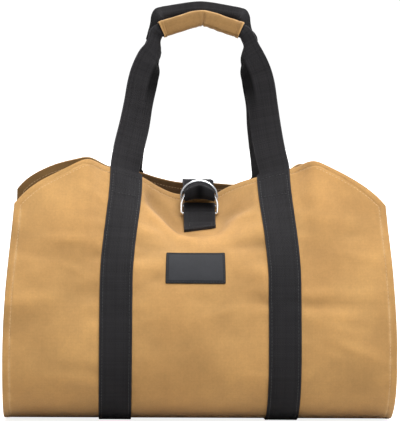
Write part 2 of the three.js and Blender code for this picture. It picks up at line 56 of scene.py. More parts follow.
PEAK = HALF_WIDTH - CUT_ACROSS
STRAP_TO_PEAK = (STRAP_OUT, PEAK - STRAP_OUT)
PEAK_TO_SIDE = (PEAK, HALF_WIDTH - PEAK)
SQUEEZED_FROM = 140.0
UNDERSIDE = 2.2
FRONT_GATHER = 12.0
REAR_GATHER = 13.0
REAR_WING_RELEASE = 0.6
GATHER_FROM = 230.0
STRAP_GATHER = 10.0
STRAP_GATHER_FROM = 310.0
TOP_SHIFT = 1.7
TOP_SHIFT_FROM = 250.0
REAR_TILT = 10.0
REAR_TILT_OUT = (125.0, 75.0)
REAR_TILT_UP = (200.0, 200.0)
SLUMP_UP = (330.0, 60.0)

# For each end: the powers of the swag left and right of the closure,
# and the slump of the cloth at the webbing in degrees.
FRONT_SWAG = ((1.7, 0.72), (0.0, 0.0))
REAR_SWAG = ((1.4, 2.0), (2.5, 8.0))

# Lean of the cloth in degrees at a distance along it from the middle of the base: 0 lies, 90 stands up.
# The columns are that distance, then the middle, the webbing's inner and outer edge, the peak and the side.
FRONT_LEAN = np.array([
    [0, 0, 0, 0, 0, 0],
    [97, 0, 0, 0, 0, 0],
    [218, 93, 93, 93, 93, 93],
    [300, 110, 110, 109, 107, 106],
    [345, 127, 121, 117, 112, 111],
    [375, 153, 129, 123, 115, 113],
    [420, 157, 136, 128, 116, 114],
    [450, 137, 136, 128, 116, 114],
    [480, 122, 132, 124, 115, 114],
], dtype=float)
REAR_LEAN = np.array([
    [0, 0, 0, 0, 0, 0],
    [97, 0, 0, 0, 0, 0],
    [218, 93, 93, 93, 93, 93],
    [300, 111, 111, 110, 107, 106],
    [345, 124, 120, 118, 113, 110],
    [375, 143, 127, 123, 117, 112],
    [420, 146, 131, 126, 119, 113],
    [450, 133, 130, 125, 119, 113],
    [480, 120, 126, 122, 118, 113],
], dtype=float)
LEAN_SOFT_ALONG = 7
LEAN_SOFT_ACROSS = 5


def smooth(value):
    """Eased step: three squares less two cubes of the value, held between 0 and 1."""
    share = np.clip(value, 0.0, 1.0)
    return share * share * (3.0 - 2.0 * share)


def eased(value, start, over):
    """Eased step from nothing at a start to one a distance further on. Named pairs give the two."""
    return smooth((value - start) / over)


def running_sum(steps):
    """Sums of the steps along the last axis, from nothing at the first place."""
    return np.concatenate([np.zeros((*steps.shape[:-1], 1)), np.cumsum(steps, axis=-1)], axis=-1)


def soften(values, spread, axis):
    """Bell-weighted mean of neighbouring values along one axis, with the end values carried on outside."""
    reach = int(3 * spread)
    steps = np.arange(-reach, reach + 1)
    weights = np.exp(-0.5 * (steps / spread) ** 2)
    weights = weights / weights.sum()
    pads = [(0, 0), (0, 0)]
    pads[axis] = (reach, reach)
    padded = np.pad(values, pads, mode="edge")
    count = values.shape[axis]
    shifted = (np.take(padded, np.arange(k, k + count), axis=axis) for k in range(len(weights)))
    return sum(weight * part for weight, part in zip(weights, shifted))


def profile_fields(table, end_swag):
    """Depth and height of the cloth on a millimetre grid: running sums of the lean's cosine and sine.

    Across the sheet the lean goes from column to column of the table, each difference added over its strip.
    The slump is extra lean at the webbing that grows towards the top.
    """
    along = np.arange(HALF_LENGTH + 1)
    across = np.arange(-HALF_WIDTH, HALF_WIDTH + 1)[:, None]
    off = np.abs(across)
    middle, strap_in, strap_out, peak, wing = (np.interp(along, table[:, 0], leans) for leans in table.T[1:])
    (left_power, right_power), (left_slump, right_slump) = end_swag
    share = np.clip((off - CLOSURE_FLAT) / (STRAP_IN - CLOSURE_FLAT), 0, 1)
    past = eased(off, *STRAP_TO_PEAK)
    lean = middle + (strap_in - middle) * share ** np.where(across < 0, left_power, right_power)
    lean = lean + (strap_out - strap_in) * np.clip((off - STRAP_IN) / (STRAP_OUT - STRAP_IN), 0, 1)
    lean = lean + (peak - strap_out) * past
    slump = np.where(across < 0, left_slump, right_slump) * smooth(share) * (1 - past)
    lean = lean + slump * eased(along, *SLUMP_UP)
    lean = lean + (wing - peak) * eased(off, *PEAK_TO_SIDE)
    lean = np.radians(soften(soften(lean, LEAN_SOFT_ALONG, 1), LEAN_SOFT_ACROSS, 0))
    depth_steps = (np.cos(lean[:, 1:]) + np.cos(lean[:, :-1])) / 2
    height_steps = (np.sin(lean[:, 1:]) + np.sin(lean[:, :-1])) / 2
    return running_sum(depth_steps), running_sum(height_steps)


def read(field, across, along):
    """Value of a field between its millimetre lines: the four round the spot, weighted by nearness."""
    i = np.clip(across + HALF_WIDTH, 0, 2 * HALF_WIDTH)
    j = np.clip(along, 0, HALF_LENGTH)
    i_low = np.minimum(i.astype(int), int(2 * HALF_WIDTH) - 1)
    j_low = np.minimum(j.astype(int), int(HALF_LENGTH) - 1)
    f = i - i_low
    g = j - j_low
    low = field[i_low, j_low] * (1 - g) + field[i_low, j_low + 1] * g
    high = field[i_low + 1, j_low] * (1 - g) + field[i_low + 1, j_low + 1] * g
    return low * (1 - f) + high * f


FRONT_DEPTH, FRONT_HEIGHT = profile_fields(FRONT_LEAN, FRONT_SWAG)
REAR_DEPTH, REAR_HEIGHT = profile_fields(REAR_LEAN, REAR_SWAG)


def towards_top(up, start):
    """Eased step from nothing at a distance along the sheet to one at its top edge."""
    return eased(up, start, HALF_LENGTH - start)


def smooth_cloth(across, along):
    """Canvas before its folds: depth and height from the fields, width gathered in towards the top.

    along is counted from the middle of the base, below zero on the front and above zero on the rear.
    """
    across, along = np.broadcast_arrays(np.asarray(across, float), np.asarray(along, float))
    front = along < 0
    up = np.abs(along)
    off = np.abs(across)
    hand = np.sign(across)
    depth = np.where(front, -read(FRONT_DEPTH, across, up), read(REAR_DEPTH, across, up))
    height = np.where(front, read(FRONT_HEIGHT, across, up), read(REAR_HEIGHT, across, up))
    wing_gather = np.where(front, FRONT_GATHER, REAR_GATHER) * towards_top(up, GATHER_FROM)
    strap_gather = STRAP_GATHER * towards_top(up, STRAP_GATHER_FROM)
    past_strap = eased(off, *STRAP_TO_PEAK)
    gather = np.where(front, strap_gather + (wing_gather - strap_gather) * past_strap, wing_gather)
    release = np.where(front, 0.0, REAR_WING_RELEASE) * eased(off, *PEAK_TO_SIDE)
    shift = TOP_SHIFT * (1 - smooth((across - STRAP_OUT) / (HALF_WIDTH - STRAP_OUT)))
    shift = shift * towards_top(up, TOP_SHIFT_FROM)
    x = across + shift - hand * gather * (1 - release) * np.minimum(off / STRAP_IN, 1)
    tilt = np.where(front, 0.0, REAR_TILT) * hand * eased(off, *REAR_TILT_OUT)
    tilt = tilt * eased(up, *REAR_TILT_UP)
    return np.stack([x, depth, UNDERSIDE + height - tilt], axis=-1)


def outward(surface, across, along):
    """Unit normal away from the logs: minus the cross product of the surface's slopes across and along."""
    step = 1.0
    slope_across = surface(across + step, along) - surface(across - step, along)
    slope_along = surface(across, along + step) - surface(across, along - step)
    normal = -np.cross(slope_across, slope_along)
    return normal / np.linalg.norm(normal, axis=-1, keepdims=True)


# Grooves pressed in where the sheet lay folded and where the webbing holds it: the distance along,
# the two ends across (the first is the deeper one), the depth, the width and the rise per millimetre across.
GROOVES = [
    (-349, -121, -158, 2.4, 8, 0.05),
    (-299, -121, -186, 3.2, 11, -0.12),
    (-274, -121, -162, 2.6, 9, -0.1),
    (-262, -236, -150, 1.6, 13, -0.15),
    (-368, -236, -176, 1.8, 15, 0.25),
    (-361, 121, 206, 1.4, 12, 0.02),
    (-287, 121, 232, 3.2, 7, -0.02),
    (-256, 121, 168, 1.2, 10, -0.2),
    (-347, -82, -46, 2.6, 8, -0.1),
    (-344, 82, 38, 3.0, 9, 0.04),
    (-367, -82, -14, 3.6, 12, 0.1),
    (-364, 82, 20, 4.6, 13, 0),
    (-292, 82, 40, 2.6, 7, 0.04),
    (-300, -82, -50, 2.0, 9, -0.06),
    (300, -121, -226, 2.4, 9, 0.04),
    (352, -121, -180, 2.2, 11, -0.08),
    (306, 121, 196, 2.4, 9, -0.05),
    (372, 121, 176, 2.0, 10, 0.1),
    (330, -82, -30, 1.8, 11, 0.05),
    (300, 82, 26, 2.0, 9, 0.03),
]
GROOVE_LEAD_IN = 0.25
GROOVE_LIP = (0.45, 2.1, 1.1)

# Slow rolling of the whole sheet: height, waves per metre across and along, and phase.
ROLLS = [
    (0.8, 4.1, 5.3, 0.4),
    (0.7, -6.2, 7.9, 2.1),
    (0.5, 9.7, 4.4, 4.0),
    (0.35, -11.3, 12.1, 1.2),
    (0.25, 17.0, -9.0, 5.1),
]
STANDING = (120.0, 90.0)

# Small ripples that lie mostly across the sheet, drawn at random: the middle of each across and along,
# then its half length, half width, slant and height.
RIPPLE_COUNT = 150
RIPPLE_SEED = 11
RIPPLES_UP = (190, 455)
RIPPLE_REACHES = (12, 44)
RIPPLE_WIDTHS = (4.5, 9)
RIPPLE_SLANT = 0.22
RIPPLE_HEIGHT = 0.95
ripple_draw = np.random.default_rng(RIPPLE_SEED)
RIPPLES = np.stack([
    ripple_draw.uniform(-HALF_WIDTH, HALF_WIDTH, RIPPLE_COUNT),
    ripple_draw.uniform(*RIPPLES_UP, RIPPLE_COUNT) * ripple_draw.choice([-1, 1], RIPPLE_COUNT),
    ripple_draw.uniform(*RIPPLE_REACHES, RIPPLE_COUNT),
    ripple_draw.uniform(*RIPPLE_WIDTHS, RIPPLE_COUNT),
    ripple_draw.normal(0, RIPPLE_SLANT, RIPPLE_COUNT),
    ripple_draw.normal(0, RIPPLE_HEIGHT, RIPPLE_COUNT),
], axis=-1)

# Swag on the front: its ridge line by distance off the middle and along, then the ridge, the hollow
# above it, and how both grow less on the right, next to the middle and towards the webbing.
SWAG_OFF = [0, 14, 30, 38, 52, 62, 76]
SWAG_ALONG = [380, 383, 391, 400, 414, 420, 427]
SWAG_RIDGE = 3.9
SWAG_RIDGE_WIDTH = 12.0
SWAG_HOLLOW = (4.6, 26.0, 16.0)
SWAG_RIGHT_LESS = 0.6
SWAG_RIGHT = (-10.0, 20.0)
SWAG_MIDDLE = (-14.0, 30.0)
SWAG_FADE = 16.0

# Pucker beside the webbing's seams: pitch, how its phase drifts, reach off the seam and height.
PUCKER_PITCH = 19.0
PUCKER_DRIFT = 0.8
PUCKER_DRIFT_LENGTH = 31.0
PUCKER_REACH = 9.0
PUCKER_HEIGHT = 0.35

# How far the folds are held down by the webbing, the top hem, the label, the tab and the strap's end.
# A row gives a sewn piece's extent across and along, the easing outside both, and the share held.
WEB_HOLD = 0.7
WEB_HOLD_EDGE = 5.0
TOP_FOLDS = 0.35
TOP_FOLDS_REACH = 40.0
LABEL_LEFT = -43.0
LABEL_RIGHT = 30.7
LABEL_LOW = 312.5
LABEL_HIGH = 356.0
SEWN_LEFT = -22.0
SEWN_RIGHT = 24.0
SEWN_FROM = 405.0
SEWN_ON = [
    (LABEL_LEFT, LABEL_RIGHT, -LABEL_HIGH, -LABEL_LOW, 9.0, 9.0, 0.9),
    (SEWN_LEFT, SEWN_RIGHT, -HALF_LENGTH, -SEWN_FROM, 7.0, 14.0, 1.0),
    (SEWN_LEFT, SEWN_RIGHT, SEWN_FROM, HALF_LENGTH, 7.0, 12.0, 1.0),
]


def bell(distance, width):
    """Bell of height one: e to the power of minus the squared ratio of the distance to the width."""
    return np.exp(-(distance / width) ** 2)


def mound(distance, height, at, width):
    """Bell of a height, about a place. Named threes give height, place and width."""
    return height * bell(distance - at, width)


def within(value, low, high, edge):
    """One inside the span from low to high, easing to nothing over the edge outside it."""
    return smooth((value - low + edge) / edge) * smooth((high + edge - value) / edge)


def swag(across, along):
    """Distance up past the swag's ridge line, and the swag's share, which eases to nothing at the webbing."""
    off = np.abs(across)
    over = np.abs(along) - np.interp(off, SWAG_OFF, SWAG_ALONG)
    return over, np.where(along < 0, smooth((STRAP_IN - off) / SWAG_FADE), 0.0)


def folds(across, along):
    """Outward shift of the canvas in millimetres: grooves, ripples, swag, slow rolls, pucker at the seams.

    A groove is a bell with two raised lips across its line, fading from its first end to its second.
    A ripple is a bell both ways, the swag a ridge with a hollow above it, a roll a sine over the sheet.
    The whole is held down where webbing, label, tab and strap are sewn on.
    """
    up = np.abs(along)
    off = np.abs(across)
    shift = np.zeros(np.shape(across))
    for line, first, last, depth, width, rise in GROOVES:
        share = (across - first) / (last - first)
        fade = np.where(share < 0, smooth(1 + share / GROOVE_LEAD_IN), 1 - smooth(share))
        away = (along - line - np.sign(line) * rise * (off - abs(first))) / width
        lips = mound(np.abs(away), *GROOVE_LIP)
        shift = shift - depth * fade * (bell(away, 1) - lips)
    for middle, line, reach, width, slant, height in RIPPLES:
        beside = across - middle
        shift = shift + height * bell(beside, reach) * bell(along - line - slant * beside, width)
    over, reach = swag(across, along)
    hollow = mound(over, *SWAG_HOLLOW)
    ridge = SWAG_RIDGE * bell(over, SWAG_RIDGE_WIDTH)
    right_less = 1 - SWAG_RIGHT_LESS * eased(across, *SWAG_RIGHT)
    beside_middle = eased(off, *SWAG_MIDDLE)
    shift = shift + (ridge - hollow) * right_less * reach * beside_middle
    standing = eased(up, *STANDING)
    for size, waves_across, waves_along, phase in ROLLS:
        turn = 2 * math.pi * MM * (waves_across * across + waves_along * along) + phase
        shift = shift + size * np.sin(turn) * standing
    seam_off = np.minimum(np.abs(off - STRAP_IN), np.abs(off - STRAP_OUT))
    drift = PUCKER_DRIFT * np.sin(along / PUCKER_DRIFT_LENGTH)
    pucker = np.sin(2 * math.pi * along / PUCKER_PITCH + drift) * bell(seam_off, PUCKER_REACH)
    shift = shift + PUCKER_HEIGHT * pucker * standing
    hold = 1 - WEB_HOLD * within(off, STRAP_IN, STRAP_OUT, WEB_HOLD_EDGE)
    for left, right, low, high, edge_across, edge_along, held in SEWN_ON:
        covered = within(across, left, right, edge_across) * within(along, low, high, edge_along)
        hold = hold * (1 - held * covered)
    hold = hold * (TOP_FOLDS + (1 - TOP_FOLDS) * smooth((HALF_LENGTH - up) / TOP_FOLDS_REACH))
    return shift * hold


def cloth(across, along):
    """Outer face of the canvas: the smooth cloth moved along its own normal by the folds."""
    across = np.clip(np.asarray(across, float), -HALF_WIDTH, HALF_WIDTH)
    along = np.clip(np.asarray(along, float), -HALF_LENGTH, HALF_LENGTH)
    across, along = np.broadcast_arrays(across, along)
    out = outward(smooth_cloth, across, along)
    return smooth_cloth(across, along) + out * folds(across, along)[..., None]


def half_width(up):
    """Half the sheet's width: full, then less by the corner cut, which bulges out between its two ends."""
    share = np.maximum((up - (HALF_LENGTH - CUT_ALONG)) / CUT_ALONG, 0)
    return HALF_WIDTH - CUT_ACROSS * share * (1 - CUT_BULGE * (1 - share))


def sheet_spot(column, row):
    """Where a grid column and row lie on the cut sheet: outer columns squeezed in, the peak rounded off."""
    up = np.abs(row)
    off = np.abs(column)
    squeeze = (half_width(up) - SQUEEZED_FROM) / (HALF_WIDTH - SQUEEZED_FROM)
    fitted = np.where(off > SQUEEZED_FROM, SQUEEZED_FROM + (off - SQUEEZED_FROM) * squeeze, off)
    near_top = smooth((up - (HALF_LENGTH - CUT_ALONG)) / CUT_ALONG)
    share = np.clip((fitted - STRAP_OUT) / (PEAK - STRAP_OUT), 0, 1)
    drop = near_top * PEAK_ROUNDING * share ** PEAK_ROUNDING_POWER
    return np.sign(column) * fitted, np.sign(row) * (up - drop)


def edge_distance(across, along, top_drop):
    """Distance to the sheet's nearest edge: to the top, or square to the side or the corner cut."""
    up = np.abs(along)
    share = np.clip((up - (HALF_LENGTH - CUT_ALONG)) / CUT_ALONG, 0, 1)
    slope = np.where(share > 0, CUT_ACROSS / CUT_ALONG * (1 - CUT_BULGE + 2 * CUT_BULGE * share), 0)
    to_side = (half_width(up) - np.abs(across)) / np.sqrt(1 + slope ** 2)
    return np.maximum(np.minimum(to_side, HALF_LENGTH - top_drop - up), 0)


HEM_WIDTH = 10.5
HEM_STITCH = 8.6
HEM_FOLD = 1.3
HEM_FOLD_STEP = 1.2
HEM_ROUND = 1.3
HEM_SWELL = 0.35
HEM_SWELL_RISE = 2.0
HEM_SWELL_FALL = 3.0
HEM_DIP = 0.5
HEM_DIP_WIDTH = 0.9
HEM_DIP_INSIDE = 0.4
HEM_LINES = np.array([
    0, 0.25, 0.6, 1.1, 1.8, 2.8, 4, 5.5, 6.7, 7.5,
    8.1, 8.6, 9.1, 9.7, 10.5, 11.2, 12, 14, 17, 21,
])


def edged_lines(half, spacing):
    """Grid lines from minus half to half: even ones, with closer ones in the hem at both ends."""
    inner = half - HEM_LINES[-1]
    count = int(round(2 * inner / spacing))
    even = np.linspace(-inner, inner, count + 1)[1:-1]
    return np.concatenate([HEM_LINES - half, even, (half - HEM_LINES)[::-1]])


def rounded(distance, radius):
    """How far a face falls away near a rounded edge: a quarter circle of that radius."""
    share = 1 - np.minimum(distance / radius, 1)
    return radius * (1 - np.sqrt(np.maximum(1 - share ** 2, 0)))


def canvas_faces(column, row):
    """Outer and inner face of the hemmed canvas, its spots on the flat sheet, and how near the edge they are.

    Outside, the hem swells a little and dips under its thread. Inside, the turned-in cloth adds to the wall.
    """
    across, along = sheet_spot(column, row)
    drop = HALF_LENGTH - np.abs(sheet_spot(column, np.full_like(row, HALF_LENGTH))[1])
    distance = edge_distance(across, along, drop)
    face = cloth(across, along)
    out = outward(cloth, across, along)
    swell = smooth(distance / HEM_SWELL_RISE) * smooth((HEM_STITCH - distance) / HEM_SWELL_FALL)
    dip = HEM_DIP * bell(distance - HEM_STITCH, HEM_DIP_WIDTH)
    lift = HEM_SWELL * swell - dip - rounded(distance, HEM_ROUND)
    turned_in = HEM_FOLD * (1 - smooth((distance - HEM_WIDTH) / HEM_FOLD_STEP))
    back = CANVAS_WALL + turned_in - HEM_DIP_INSIDE * dip - rounded(distance, HEM_ROUND)
    return face + out * lift[..., None], face - out * back[..., None], across, along, distance


def put_in_scene(name, data):
    """Object that shows a mesh, light or camera in the scene."""
    made = bpy.data.objects.new(name, data)
    bpy.context.scene.collection.objects.link(made)
    return made


def solid(name, points, faces, corner_uv, marks=None):
    """Object from points and four-cornered faces, turned right way out by the sign of its volume."""
    a, b, c, d = (points[faces[:, k]] for k in range(4))
    volume = np.sum(a * np.cross(b, c)) + np.sum(a * np.cross(c, d))
    corner_uv = corner_uv.reshape(-1, 4, 2)
    if volume < 0:
        faces = faces[:, ::-1]
        corner_uv = corner_uv[:, ::-1]
    mesh = bpy.data.meshes.new(name)
    mesh.from_pydata(points.tolist(), [], faces.tolist())
    layer = mesh.uv_layers.new(name="weave")
    layer.data.foreach_set("uv", np.ascontiguousarray(corner_uv, dtype=np.float32).ravel())
    for key, values in (marks or {}).items():
        attribute = mesh.attributes.new(key, "FLOAT", "POINT")
        attribute.data.foreach_set("value", np.concatenate([v.ravel() for v in values]).astype(np.float32))
    mesh.polygons.foreach_set("use_smooth", np.ones(len(faces), dtype=bool))
    mesh.update()
    return put_in_scene(name, mesh)


def skin(name, outer, inner, uv, marks=None):
    """Closed mesh over two grids of points: the outer face, the inner face turned over, and the open rims.

    Where uv has one column more than the points, the grid goes round and closes on its first column.
    marks are named values at the outer and the inner points, kept as attributes for the material.
    """
    rows, columns = outer.shape[:2]
    spots = uv.shape[1]
    around = spots == columns + 1
    face = np.arange(rows * spots).reshape(rows, spots)
    back = face + rows * spots
    quads = [
        np.stack([face[:-1, :-1], face[1:, :-1], face[1:, 1:], face[:-1, 1:]], axis=-1),
        np.stack([back[:-1, :-1], back[:-1, 1:], back[1:, 1:], back[1:, :-1]], axis=-1),
        np.stack([face[0, :-1], face[0, 1:], back[0, 1:], back[0, :-1]], axis=-1),
        np.stack([face[-1, :-1], back[-1, :-1], back[-1, 1:], face[-1, 1:]], axis=-1),
    ]
    if not around:
        quads.append(np.stack([face[:-1, 0], back[:-1, 0], back[1:, 0], face[1:, 0]], axis=-1))
        quads.append(np.stack([face[:-1, -1], face[1:, -1], back[1:, -1], back[:-1, -1]], axis=-1))
    corners = np.concatenate([part.reshape(-1, 4) for part in quads])
    point_of = np.arange(rows * columns).reshape(rows, columns)
    if around:
        point_of = np.concatenate([point_of, point_of[:, :1]], axis=1)
    point_of = np.concatenate([point_of.ravel(), point_of.ravel() + rows * columns])
    points = np.concatenate([outer.reshape(-1, 3), inner.reshape(-1, 3)]) * MM
    shares = np.concatenate([uv.reshape(-1, 2), uv.reshape(-1, 2)]) * MM
    return solid(name, points, point_of[corners], shares[corners.ravel()], marks)


def dress(piece, material, slot, *nodes):
    """Gives a piece its material and its place on the part's one body, and hides the nodes it stands for.
    slot is not used.
    """
    piece.data.materials.append(material)
    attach(piece, "root")
    if nodes:
        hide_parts(*nodes)


def node(tree, kind, values=None, **settings):
    """One shader node. A value that is another node's output is linked, any other is set on the socket."""
    made = tree.nodes.new("ShaderNode" + kind)
    for key, value in settings.items():
        setattr(made, key, value)
    for key, value in (values or {}).items():
        if isinstance(value, bpy.types.NodeSocket):
            tree.links.new(value, made.inputs[key])
        else:
            made.inputs[key].default_value = value
    return made


def calc(tree, operation, first, second=0.0, third=0.0):
    """Result of one sum on two or three values."""
    return node(tree, "Math", {0: first, 1: second, 2: third}, operation=operation).outputs[0]


def blend(tree, share, first, second, kind="MIX"):
    """Colour between the first and the second, by a share."""
    return node(tree, "Mix", {0: share, 6: first, 7: second}, data_type="RGBA", blend_type=kind).outputs[2]


def span(tree, value, low, high):
    """Value from 0 to 1 brought to between low and high."""
    return node(tree, "MapRange", {0: value, 3: low, 4: high}).outputs[0]


def stretch(tree, value, low, high):
    """Value between low and high brought to between 0 and 1."""
    return node(tree, "MapRange", {0: value, 1: low, 2: high}).outputs[0]


def mark(tree, name):
    """Value that the mesh keeps at its points under a name."""
    return node(tree, "Attribute", attribute_name=name).outputs["Fac"]


def toned(tree, colour, tone):
    """Colour multiplied by a tone."""
    grey = node(tree, "CombineColor", {0: tone, 1: tone, 2: tone}).outputs[0]
    return blend(tree, 1.0, colour, grey, "MULTIPLY")


def relief(tree, shader, strength, distance, height):
    """Bump from a height, on the shader's normal."""
    bump = node(tree, "Bump", {"Strength": strength, "Distance": distance, "Height": height})
    tree.links.new(bump.outputs[0], shader["Normal"])


def node_group(name, inputs, outputs):
    """Empty shader node group with named sockets, and its input and output nodes."""
    tree = bpy.data.node_groups.new(name, "ShaderNodeTree")
    for title, kind in inputs:
        tree.interface.new_socket(name=title, in_out="INPUT", socket_type="NodeSocket" + kind)
    for title, kind in outputs:
        tree.interface.new_socket(name=title, in_out="OUTPUT", socket_type="NodeSocket" + kind)
    return tree, tree.nodes.new("NodeGroupInput").outputs, tree.nodes.new("NodeGroupOutput").inputs


def plain_weave_group():
    """Yarns over and under: each cell shows the crown of one yarn, a half sine, and the cells take turns.

    Yarn tone is one random value for each yarn, so that pale and dark yarns run right along the cloth.
    """
    tree, given, result = node_group(
        "plain_weave",
        [("Vector", "Vector"), ("Pitch Across", "Float"), ("Pitch Along", "Float")],
        [("Height", "Float"), ("Yarn Tone", "Float")],
    )
    parts = node(tree, "SeparateXYZ", {0: given["Vector"]}).outputs
    across = calc(tree, "DIVIDE", parts[0], given["Pitch Across"])
    along = calc(tree, "DIVIDE", parts[1], given["Pitch Along"])
    across_yarn = calc(tree, "FLOOR", across)
    along_yarn = calc(tree, "FLOOR", along)
    over = calc(tree, "FLOORED_MODULO", calc(tree, "ADD", across_yarn, along_yarn), 2.0)
    across_crown = calc(tree, "SINE", calc(tree, "MULTIPLY", calc(tree, "FRACT", across), math.pi))
    along_crown = calc(tree, "SINE", calc(tree, "MULTIPLY", calc(tree, "FRACT", along), math.pi))
    across_tone = node(tree, "TexWhiteNoise", {1: across_yarn}, noise_dimensions="1D").outputs[0]
    along_tone = node(tree, "TexWhiteNoise", {1: along_yarn}, noise_dimensions="1D").outputs[0]
    height = node(tree, "Mix", {0: over, 2: along_crown, 3: across_crown}, data_type="FLOAT").outputs[0]
    tone = node(tree, "Mix", {0: over, 2: along_tone, 3: across_tone}, data_type="FLOAT").outputs[0]
    tree.links.new(height, result["Height"])
    tree.links.new(tone, result["Yarn Tone"])
    return tree


RUBBED_SPAN = (0.35, 0.7)
CLOUD_SPAN = (0.25, 0.75)


def handling_group():
    """Uneven colour from use: broad clouds, smudges and flecks, and rubbed patches where the edge is high."""
    tree, given, result = node_group(
        "handling",
        [("Vector", "Vector"), ("Edge", "Float")],
        [("Cloud", "Float"), ("Smudge", "Float"), ("Fleck", "Float"), ("Rubbed", "Float")],
    )
    broad = {"Vector": given["Vector"], "Scale": 9.0, "Detail": 3.0, "Roughness": 0.55}
    cloud = node(tree, "TexNoise", broad).outputs[0]
    small = {"Vector": given["Vector"], "Scale": 55.0, "Detail": 4.0, "Roughness": 0.6}
    smudge = node(tree, "TexNoise", small).outputs[0]
    fine = {"Vector": given["Vector"], "Scale": 380.0, "Detail": 2.0, "Roughness": 0.6}
    tree.links.new(node(tree, "TexNoise", fine).outputs[0], result["Fleck"])
    rubbed = calc(tree, "MULTIPLY", given["Edge"], stretch(tree, smudge, *RUBBED_SPAN))
    tree.links.new(stretch(tree, cloud, *CLOUD_SPAN), result["Cloud"])
    tree.links.new(smudge, result["Smudge"])
    tree.links.new(rubbed, result["Rubbed"])
    return tree


PLAIN_WEAVE = plain_weave_group()
HANDLING = handling_group()


def grouped(tree, group, values):
    """A node group placed in a material with its own values."""
    return node(tree, "Group", values, node_tree=group).outputs


def new_material(name, constants):
    """Empty material with one principled shader, whose plain values are set on its own sockets."""
    material = bpy.data.materials.new(name)
    material.use_nodes = True
    tree = material.node_tree
    tree.nodes.clear()
    shader = node(tree, "BsdfPrincipled", constants)
    node(tree, "OutputMaterial", {"Surface": shader.outputs[0]})
    return material, tree, shader.inputs


CANVAS_DARK = (0.45, 0.24, 0.078, 1)
CANVAS_LIGHT = (0.55, 0.31, 0.106, 1)
CANVAS_RUBBED = (0.72, 0.46, 0.205, 1)
CANVAS_INSIDE = (0.36, 0.34, 0.31, 1)
CANVAS_YARN = 0.00072
CANVAS_YARN_TONES = (0.97, 1.03)
CANVAS_SHADING_TONES = (0.7, 1.16)
CANVAS_SMUDGE_TONES = (0.86, 1.14)
CANVAS_FLECK_TONES = (0.88, 1.12)
CANVAS_RUB = 0.75
CANVAS_ROUGHNESS = (0.82, 0.94)
CANVAS_CROWN_GLOSS = -0.08
CANVAS_UNEVEN = 0.6
CANVAS_RELIEF = (0.45, 0.0003)


def canvas_material(name):
    """Duck canvas: woven height, tone that changes from yarn to yarn, painted light on crests and painted
    shade in hollows, clouds, smudges and flecks, paler rubbed hems, and a duller inside, where the mark also
    carries painted light and shade.
    """
    constants = {"Sheen Weight": 0.12, "Sheen Roughness": 0.55, "Specular IOR Level": 0.25}
    material, tree, shader = new_material(name, constants)
    place = node(tree, "TexCoord").outputs
    yarns = {"Vector": place["UV"], "Pitch Across": CANVAS_YARN, "Pitch Along": CANVAS_YARN}
    weave = grouped(tree, PLAIN_WEAVE, yarns)
    use = grouped(tree, HANDLING, {"Vector": place["Object"], "Edge": mark(tree, "hem")})
    colour = blend(tree, use["Cloud"], CANVAS_DARK, CANVAS_LIGHT)
    tone = span(tree, weave["Yarn Tone"], *CANVAS_YARN_TONES)
    # Painted shading: this mark lightens the cloth where it is painted as lit and darkens it where it is
    # painted as shaded.
    tone = calc(tree, "MULTIPLY", tone, span(tree, mark(tree, "shading_and_rub"), *CANVAS_SHADING_TONES))
    tone = calc(tree, "MULTIPLY", tone, span(tree, use["Smudge"], *CANVAS_SMUDGE_TONES))
    tone = calc(tree, "MULTIPLY", tone, span(tree, use["Fleck"], *CANVAS_FLECK_TONES))
    colour = toned(tree, colour, tone)
    colour = blend(tree, calc(tree, "MULTIPLY", use["Rubbed"], CANVAS_RUB), colour, CANVAS_RUBBED)
    dulled = blend(tree, 1.0, colour, CANVAS_INSIDE, "MULTIPLY")
    tree.links.new(blend(tree, mark(tree, "inside"), colour, dulled), shader["Base Color"])
    rough = span(tree, use["Smudge"], *CANVAS_ROUGHNESS)
    rough = calc(tree, "MULTIPLY_ADD", weave["Height"], CANVAS_CROWN_GLOSS, rough)
    tree.links.new(rough, shader["Roughness"])
    height = calc(tree, "MULTIPLY_ADD", use["Smudge"], CANVAS_UNEVEN, weave["Height"])
    relief(tree, shader, *CANVAS_RELIEF, height)
    return material


# Grid spacing, then what marks the material: the hem rubbed at its thread and edge and less so at the top,
# painted light on crests and painted shade in hollows, painted shade in the swag's hollow on the left,
# painted light on the wing tops, and painted light on the inside of the wings.
COLUMN_SPACING = 4.0
ROW_SPACING = 4.6
CUT_ROWS = np.array([-1.2, 0.0, 1.2]) + HALF_LENGTH - CUT_ALONG
HEM_RUB_WIDTH = 1.7
HEM_EDGE_RUB = 0.7
HEM_EDGE_REACH = 2.0
HEM_INSIDE_RUB = 0.6
TOP_HEM_TONE = 0.35
TOP_HEM = (400.0, 30.0)
CREST_MIDDLE = 0.5
CREST_SHARE = 0.11
HOLLOW_PAINTED_SHADE = 0.32
HOLLOW_UP = (4.0, 26.0)
HOLLOW_RIGHT = 6.0
HOLLOW_RIGHT_OVER = 20.0
WING_TOP_PAINTED_LIGHT = (0.2, 0.34)
WING_TOP = (390.0, 60.0)
WING_OUT = (STRAP_OUT - 8.0, 16.0)
INSIDE_WING_PAINTED_LIGHT = 0.58
INSIDE_WING_OUT = (STRAP_OUT, 40.0)
INSIDE_WING_UP = (370.0, 70.0)

